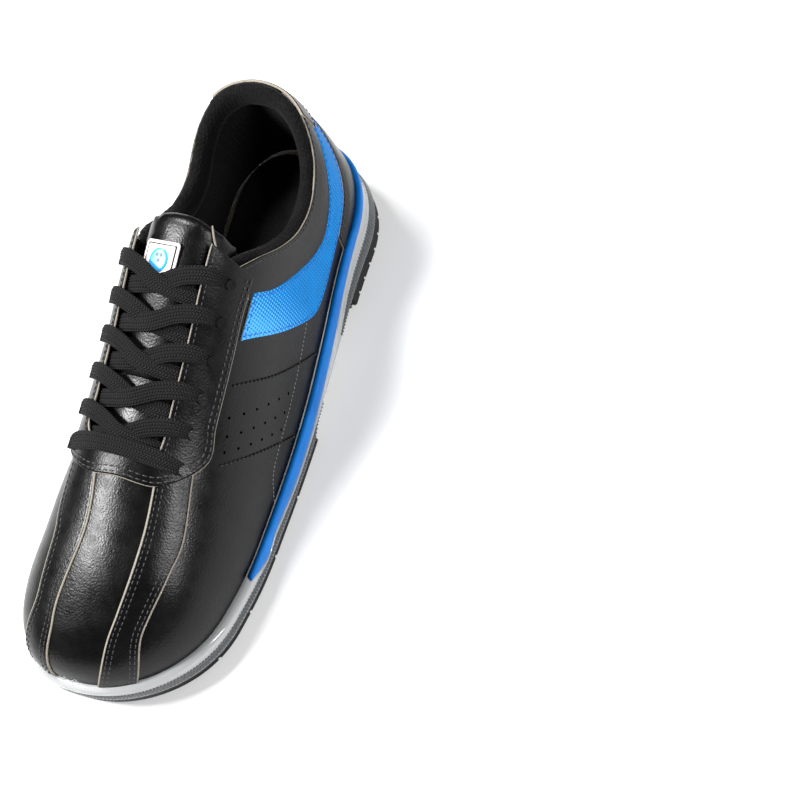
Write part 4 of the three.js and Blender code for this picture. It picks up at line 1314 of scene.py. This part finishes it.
def bezier(*points):
    """Points on a chain of cubic curves given as start, two handles, end, two handles, end..."""
    result = []
    for i in range(0, len(points) - 1, 3):
        a, b, c, d = (np.array(p, float) for p in points[i:i + 4])
        s = np.linspace(0, 1, 13)[:-1, None]
        result.append((1 - s) ** 3 * a + 3 * s * (1 - s) ** 2 * b + 3 * s * s * (1 - s) * c + s ** 3 * d)
    return np.concatenate(result)


def shrunk(polygon, distance):
    """A polygon moved inwards by a distance in mm, corner by corner."""
    p = np.asarray(polygon, float)
    area = np.sum(p[:, 0] * np.roll(p[:, 1], -1) - np.roll(p[:, 0], -1) * p[:, 1])
    before, after = p - np.roll(p, 1, 0), np.roll(p, -1, 0) - p
    n1, n2 = (np.stack([-e[:, 1], e[:, 0]], -1) / np.maximum(np.linalg.norm(e, axis=1, keepdims=True), 1e-9)
              for e in (before, after))
    inward = (n1 + n2) / np.maximum(1 + np.sum(n1 * n2, 1, keepdims=True), 0.35)
    return p + inward * distance * np.sign(area)


def half_plan(inset, y_from, y_to, pitch=3.0):
    """The plan of the sole between a station and its toe or heel end, as one closed polygon."""
    round_toe = y_from < -HALF_LENGTH
    turn = math.acos(-(y_to if round_toe else y_from) / (HALF_LENGTH - inset))
    start, end = (-turn, turn) if round_toe else (turn, 2 * math.pi - turn)
    return np.stack(outline(inset, even_steps(start, end, pitch)), -1)


def looped(shape):
    """A polygon with its first point again at the end."""
    return np.vstack([shape, shape[:1]])


def within(polygon, groove):
    """A groove rule that only holds inside a polygon."""
    return lambda xy: groove(xy) & inside(xy, polygon)


def level(height):
    return lambda y: np.full(np.shape(y), float(height))


def pad_top(y):
    return ground(y) + PAD_THICK

# %% [markdown]
# The forefoot pad has a teardrop insert under the toes and a wedge at each side behind it. Slanted flex bars
# cross the herringbone, and short cuts through the rim let it bend.

# %% Forefoot pad and its inserts
toe_insert = bezier((2, -34), (9, -58), (17, -82), (24, -106), (30, -126), (18, -138), (0, -140), (-22, -141),
                    (-34, -126), (-27, -106), (-17, -82), (-7, -58), (2, -34))
REAR_INSERT = ((9, -2), (16, -3.5), (24, -5), (31, -6), (37, -14), (41, -38), (40, -66), (33, -48), (20, -22),
               (9, -2))
rear_inserts = {}
for side, _ in SIDES:
    rear_inserts[side] = bezier(*[(side * x + float(middle(-20)), y) for x, y in REAR_INSERT])
bone_lines, bone_start = herringbone_lines(-150, PAD_END)
field = half_plan(11.5, -200, PAD_END - 3.5, 4.0)
# Each flex bar is x, y, half length, half width and slant in radians.
FLEX_BARS = ((4, -10, 13, 2.4, 0.25), (27, -34, 9, 2.0, 0.2), (-19, -34, 9, 2.0, -0.2),
             (0, -62, 46, 3.4, 0.12), (2, -98, 17, 2.6, 0.1), (35, -88, 8, 2.2, 0.15), (-34, -92, 8, 2.2, -0.15))
RIM_CUTS, RIM_SLANT, CUT_HALF = (-62, -92, -118, -30), 0.15, 0.8


def bar_outline(x, y, long, wide, slant):
    c, s = math.cos(slant), math.sin(slant)
    return np.array([(x + u * c - v * s, y + u * s + v * c)
                     for u, v in ((-long, -wide), (long, -wide), (long, wide), (-long, wide))])


def forefoot_groove(xy):
    lug = ((xy[:, 1] - zig(xy[:, 0]) - bone_start) % LUG_PITCH) < LUG_WIDE
    flex = np.zeros(len(xy), bool)
    for bar in FLEX_BARS:
        flex |= inside(xy, bar_outline(*bar))
    cut = np.zeros(len(xy), bool)
    for y in RIM_CUTS:
        cut |= np.abs(xy[:, 1] - y - RIM_SLANT * np.abs(xy[:, 0])) < CUT_HALF
    in_field = inside(xy, field)
    return (in_field & ~lug & ~flex) | (~in_field & cut)


bars = [looped(bar_outline(*bar)) for bar in FLEX_BARS]
cuts = [np.array([(sign * x, y + RIM_SLANT * x + d) for x in (34, 60)])
        for y in RIM_CUTS for sign in (1, -1) for d in (-CUT_HALF, CUT_HALF)]
pad = half_plan(1.5, -200, PAD_END)
insert_holes = [toe_insert, rear_inserts[LATERAL], rear_inserts[MEDIAL]]
tread = lugged_pad("herringbone_forefoot_pad", pad, insert_holes, bone_lines + bars + cuts + [looped(field)],
                   forefoot_groove, ground, pad_top, black_rubber)
settle(tread, "black_rubber", "forefoot_tread")
for name, shape in zip(("toe_insert", "rear_insert_lateral", "rear_insert_medial"), insert_holes):
    border = shrunk(shape, 2.0)
    piece = lugged_pad("herringbone_" + name, shrunk(shape, 0.45), [], bone_lines + bars + [looped(border)],
                       within(border, forefoot_groove), ground, pad_top, blue_rubber, depth=1.0)
    settle(piece, "blue_rubber", name)

# %% [markdown]
# The heel block is black rubber with a straight breast and cut corners, saw-tooth grooves across it, two blue
# inserts and a deep recess between them.

# %% Heel block
heel = half_plan(1.5, HEEL_BREAST + 16, 200)
heel = np.vstack([heel, [(-26, HEEL_BREAST), (28, HEEL_BREAST)]])
heel_inserts = {side: np.array([(side * x + 1, y) for x, y in ((9, 84), (27, 78), (31, 104), (12, 132))])
                for side, _ in SIDES}
recess = np.array([(-4, 86), (6, 86), (7, 104), (5, 124), (-3, 124), (-5, 104)])
HEEL_CUTS, HEEL_SLANT, HEEL_CUT_HALF = range(74, 139, 8), 0.22, 0.7


def heel_groove(xy):
    cut = np.zeros(len(xy), bool)
    for y in HEEL_CUTS:
        cut |= np.abs(xy[:, 1] - y + HEEL_SLANT * np.abs(xy[:, 0])) < HEEL_CUT_HALF
    return cut | inside(xy, recess)


def insert_slot(side):
    """The slanted slot across the insert of one side."""
    return lambda xy: np.abs((xy[:, 0] * side - 12.75) * 26 - (xy[:, 1] - 91.5) * 28) < 19


heel_lines = [np.array([(x, y - HEEL_SLANT * abs(x) + d) for x in (-60, 0, 60)])
              for y in HEEL_CUTS for d in (-HEEL_CUT_HALF, HEEL_CUT_HALF)]
heel_pad = lugged_pad("heel_block", heel, list(heel_inserts.values()), heel_lines + [looped(recess)], heel_groove,
                      level(0), level(HEEL_THICK), black_rubber, depth=1.6)
settle(heel_pad, "black_rubber", "heel_tread")
for side, name in SIDES:
    slot_lines = [np.array([(side * 12, 92), (side * 40, 118)]), np.array([(side * 13.5, 91), (side * 41.5, 117)])]
    piece = lugged_pad("heel_insert_" + name, shrunk(heel_inserts[side], 0.5), [], slot_lines, insert_slot(side),
                       level(0.4), level(6), blue_rubber, depth=0.8)
    settle(piece, "blue_rubber", "heel_insert_" + name)

# %% [markdown]
# ## Badges
# A soft square of moulded plastic with a raised picture: here a ball with its three finger holes inside a dark
# frame. One is glued on the tongue, one sits behind the raised window in the waist.

# %% Badges and window
WINDOW_X, WINDOW_Y, WINDOW_LOW, WINDOW_HIGH = 6.0, 38.0, 5.8, 7.3


def plain_plastic(name, colour, rough):
    material, tree, shader, place = new_material(name)
    cloud = add(tree, "ShaderNodeTexNoise", {"Vector": place, "Scale": 300.0, "Detail": 2.0})
    bump = add(tree, "ShaderNodeBump", {"Height": cloud.outputs["Fac"], "Strength": 0.2, "Distance": 0.0001})
    wire(tree, shader, {"Base Color": linear(colour), "Roughness": rough, "Normal": bump.outputs["Normal"]})
    return material


badge_white = plain_plastic("white_badge_plastic", "#efe3e0", 0.35)
badge_dark = plain_plastic("dark_badge_plastic", "#1d2328", 0.35)
badge_blue = plain_plastic("blue_badge_plastic", "#3a9fe0", 0.3)


def rounded_square(half_w, half_h, radius, per_corner=6):
    corners = []
    for k, (sx, sy) in enumerate(((1, 1), (-1, 1), (-1, -1), (1, -1))):
        for turn in np.linspace(k, k + 1, per_corner) * math.pi / 2:
            corners.append((sx * (half_w - radius) + radius * math.cos(turn),
                            sy * (half_h - radius) + radius * math.sin(turn)))
    return np.array(corners)


def raised_shape(place, shape, low, high, bevel=0.2):
    """Rings of a flat raised shape on a surface: up its side, over a bevel, and in to the middle."""
    centre = shape.mean(0)
    rows = [(1, low), (1, high - bevel)] + [(s - bevel / 12, high) for s in (1, 0.75, 0.5, 0.25, 0.04)]
    return [[place(*(centre + (p - centre) * s), z) for p in shape] for s, z in rows]


def badge(name, place, half_w, half_h, slot_node, body):
    turn = np.linspace(0, 2 * math.pi, 33)[:-1]
    circle = np.stack([np.cos(turn), np.sin(turn)], -1)
    ball = circle * half_h * 0.62
    shapes = [(rounded_square(half_w, half_h, 1.6), 0, 0.8, badge_white),
              (rounded_square(half_w * 0.86, half_h * 0.86, 0.8), 0.7, 0.95, badge_dark),
              (rounded_square(half_w * 0.78, half_h * 0.78, 0.6), 0.9, 1.05, badge_white),
              (ball, 1.0, 1.35, badge_blue)]
    for cx, cy in ((-0.13, 0.26), (0.13, 0.26), (0.02, -0.02)):
        shapes.append((circle[::2] * half_h * 0.09 + np.array([cx, cy]) * half_h, 1.3, 1.42, badge_dark))
    for k, (shape, low, high, material) in enumerate(shapes):
        piece = capped_tube(f"{name}_{k}", raised_shape(place, shape, low, high, min(0.2, high - low - 0.02)),
                            [material])
        settle(piece, "badge", slot_node, body=body)


def on_tongue(u, v, z):
    return over_instep(u - 4, 35.5 + v, -3.3 + z)


def behind_window(u, v, z):
    return np.array([WINDOW_X - u, WINDOW_Y + v, 7.6 - z])


badge("tongue_badge", on_tongue, 10, 8.6, "tongue_badge", "tongue")
badge("waist_badge", behind_window, 9.3, 8.3, "shank_badge", "shoe")
window_rows = []
for grow, z in ((0, WINDOW_HIGH + 0.9), (0, WINDOW_LOW + 0.5), (0.5, WINDOW_LOW), (3.4, WINDOW_LOW),
                (3.9, WINDOW_LOW + 0.5), (3.9, WINDOW_HIGH + 0.9)):
    shape = rounded_square(16 - grow, 13.5 - grow, 4.6 - grow * 0.6)
    window_rows.append(np.column_stack([shape + (WINDOW_X, WINDOW_Y), np.full(len(shape), z)]))
rows = np.array(window_rows + window_rows[:1])
around = rows.shape[1]
frame_faces = grid_faces(6, around, True).tolist()
frame_faces += [[5 * around + i, 5 * around + (i + 1) % around, (i + 1) % around, i] for i in range(around)]
settle(make("waist_window_frame", rows[:-1], frame_faces, [clear_tpr]), "clear_rubber", "shank_window")

# %% [markdown]
# ## Hidden layers
# Foam filler, board, shank and stiffeners are inside. They keep the solid model's shape and get plain fibre
# finishes, which is what shows if the shoe is taken apart.

# %% Finishes of the hidden layers
HIDDEN = {"midsole": ("foam_filler", "#a9adb0", "#c9cccd", 2.0, 0.8),
          "insole_board": ("lasting_board", "#9b8f7c", "#b9ad99", 1.2, 0.9),
          "shank_plate": ("spring_steel", "#7f8488", "#9ca1a5", 0.6, 0.35),
          "toe_puff": ("toe_stiffener", "#8f8a80", "#aaa598", 1.0, 0.9),
          "heel_counter": ("heel_stiffener", "#8f8a80", "#aaa598", 1.0, 0.9)}
for node, (name, dark, light, grain_mm, rough) in HIDDEN.items():
    material = fibrous(name, dark, light, grain_mm, 4.0, rough, 0.4, 0.2)
    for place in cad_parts[node].material_slots:
        place.material = material

# %% [markdown]
# ## Trim
# The lace keeper is a short leather loop on the tongue. Two rows of dashes pressed into the quarter, three rows
# of small punched holes between them, and a fine pale line of stitching finish the sides.

# %% Lace keeper
def keeper_body():
    xs = np.linspace(-12.5, 12.5, 15)
    outer = np.array([[over_instep(x, y, -3.4 - tuck - 0.5 * abs(x / 12) ** 4) for x in xs]
                      for y, tuck in ((-15, 0.4), (-14.4, 0), (-10, 0), (-5.6, 0), (-5, 0.4))])
    inner = outer - face_normal(outer) * 0.9
    return two_skins("leather_lace_keeper", inner, outer, [black_leather, edge_backing])


settle(keeper_body(), "leather", "lace_keeper", body="tongue")

# %% Perforations and pressed dashes
PERFORATION_ROWS = (((-14, 69), (15, 40)), ((-22, 65), (6, 37.5)), ((-29, 62), (-2, 35)))
DASH_LINES = (((-1, 77), (20, 52), (43, 27)), ((-36, 61), (-16, 41), (2, 21)))
PALE_LINE = ((51, 45), (34, 40), (11, 35), (-7, 32), (-23, 28), (-36, 17))


def between(side, start, end, count):
    """Surface points on a side, evenly along a straight line between two (y, z) stations."""
    return line(side, np.linspace(start, end, count))


def surface_line(side, stations, count):
    return press(smooth(line(side, stations), np.linspace(0, 1, count)))


for side, name in SIDES:
    quarter = bpy.data.objects["sewn_quarter_" + name]
    spots = [p for start, end in PERFORATION_ROWS for p in between(side, start, end, 6)]
    punch(quarter, spots, 0.75, depth=6.0)
    shade_rim_sharp(quarter)
    for dashes in DASH_LINES:
        sew("dark", surface_line(side, dashes, 60), 0.45, pitch=2.6, length=1.9, radius=0.55)
    sew("pale", surface_line(side, PALE_LINE, 120), 0.15, pitch=2.1, length=1.5, radius=0.17)

# %% [markdown]
# All stitches of one thread become one piece, so the seams can be changed together and stay light to handle.

# %% Stitches as thread
for thread, stitches in seams.items():
    starts = np.arange(len(stitches))[:, None, None] * STITCH_POINTS
    quads = (starts + STITCH_FACES[None]).reshape(-1, 4)
    piece = make(thread + "_stitching", np.concatenate(stitches), quads, [threads[thread]])
    settle(piece, "leather" if thread != "blue" else "blue_upper")
    print(thread, "thread:", len(stitches), "stitches")
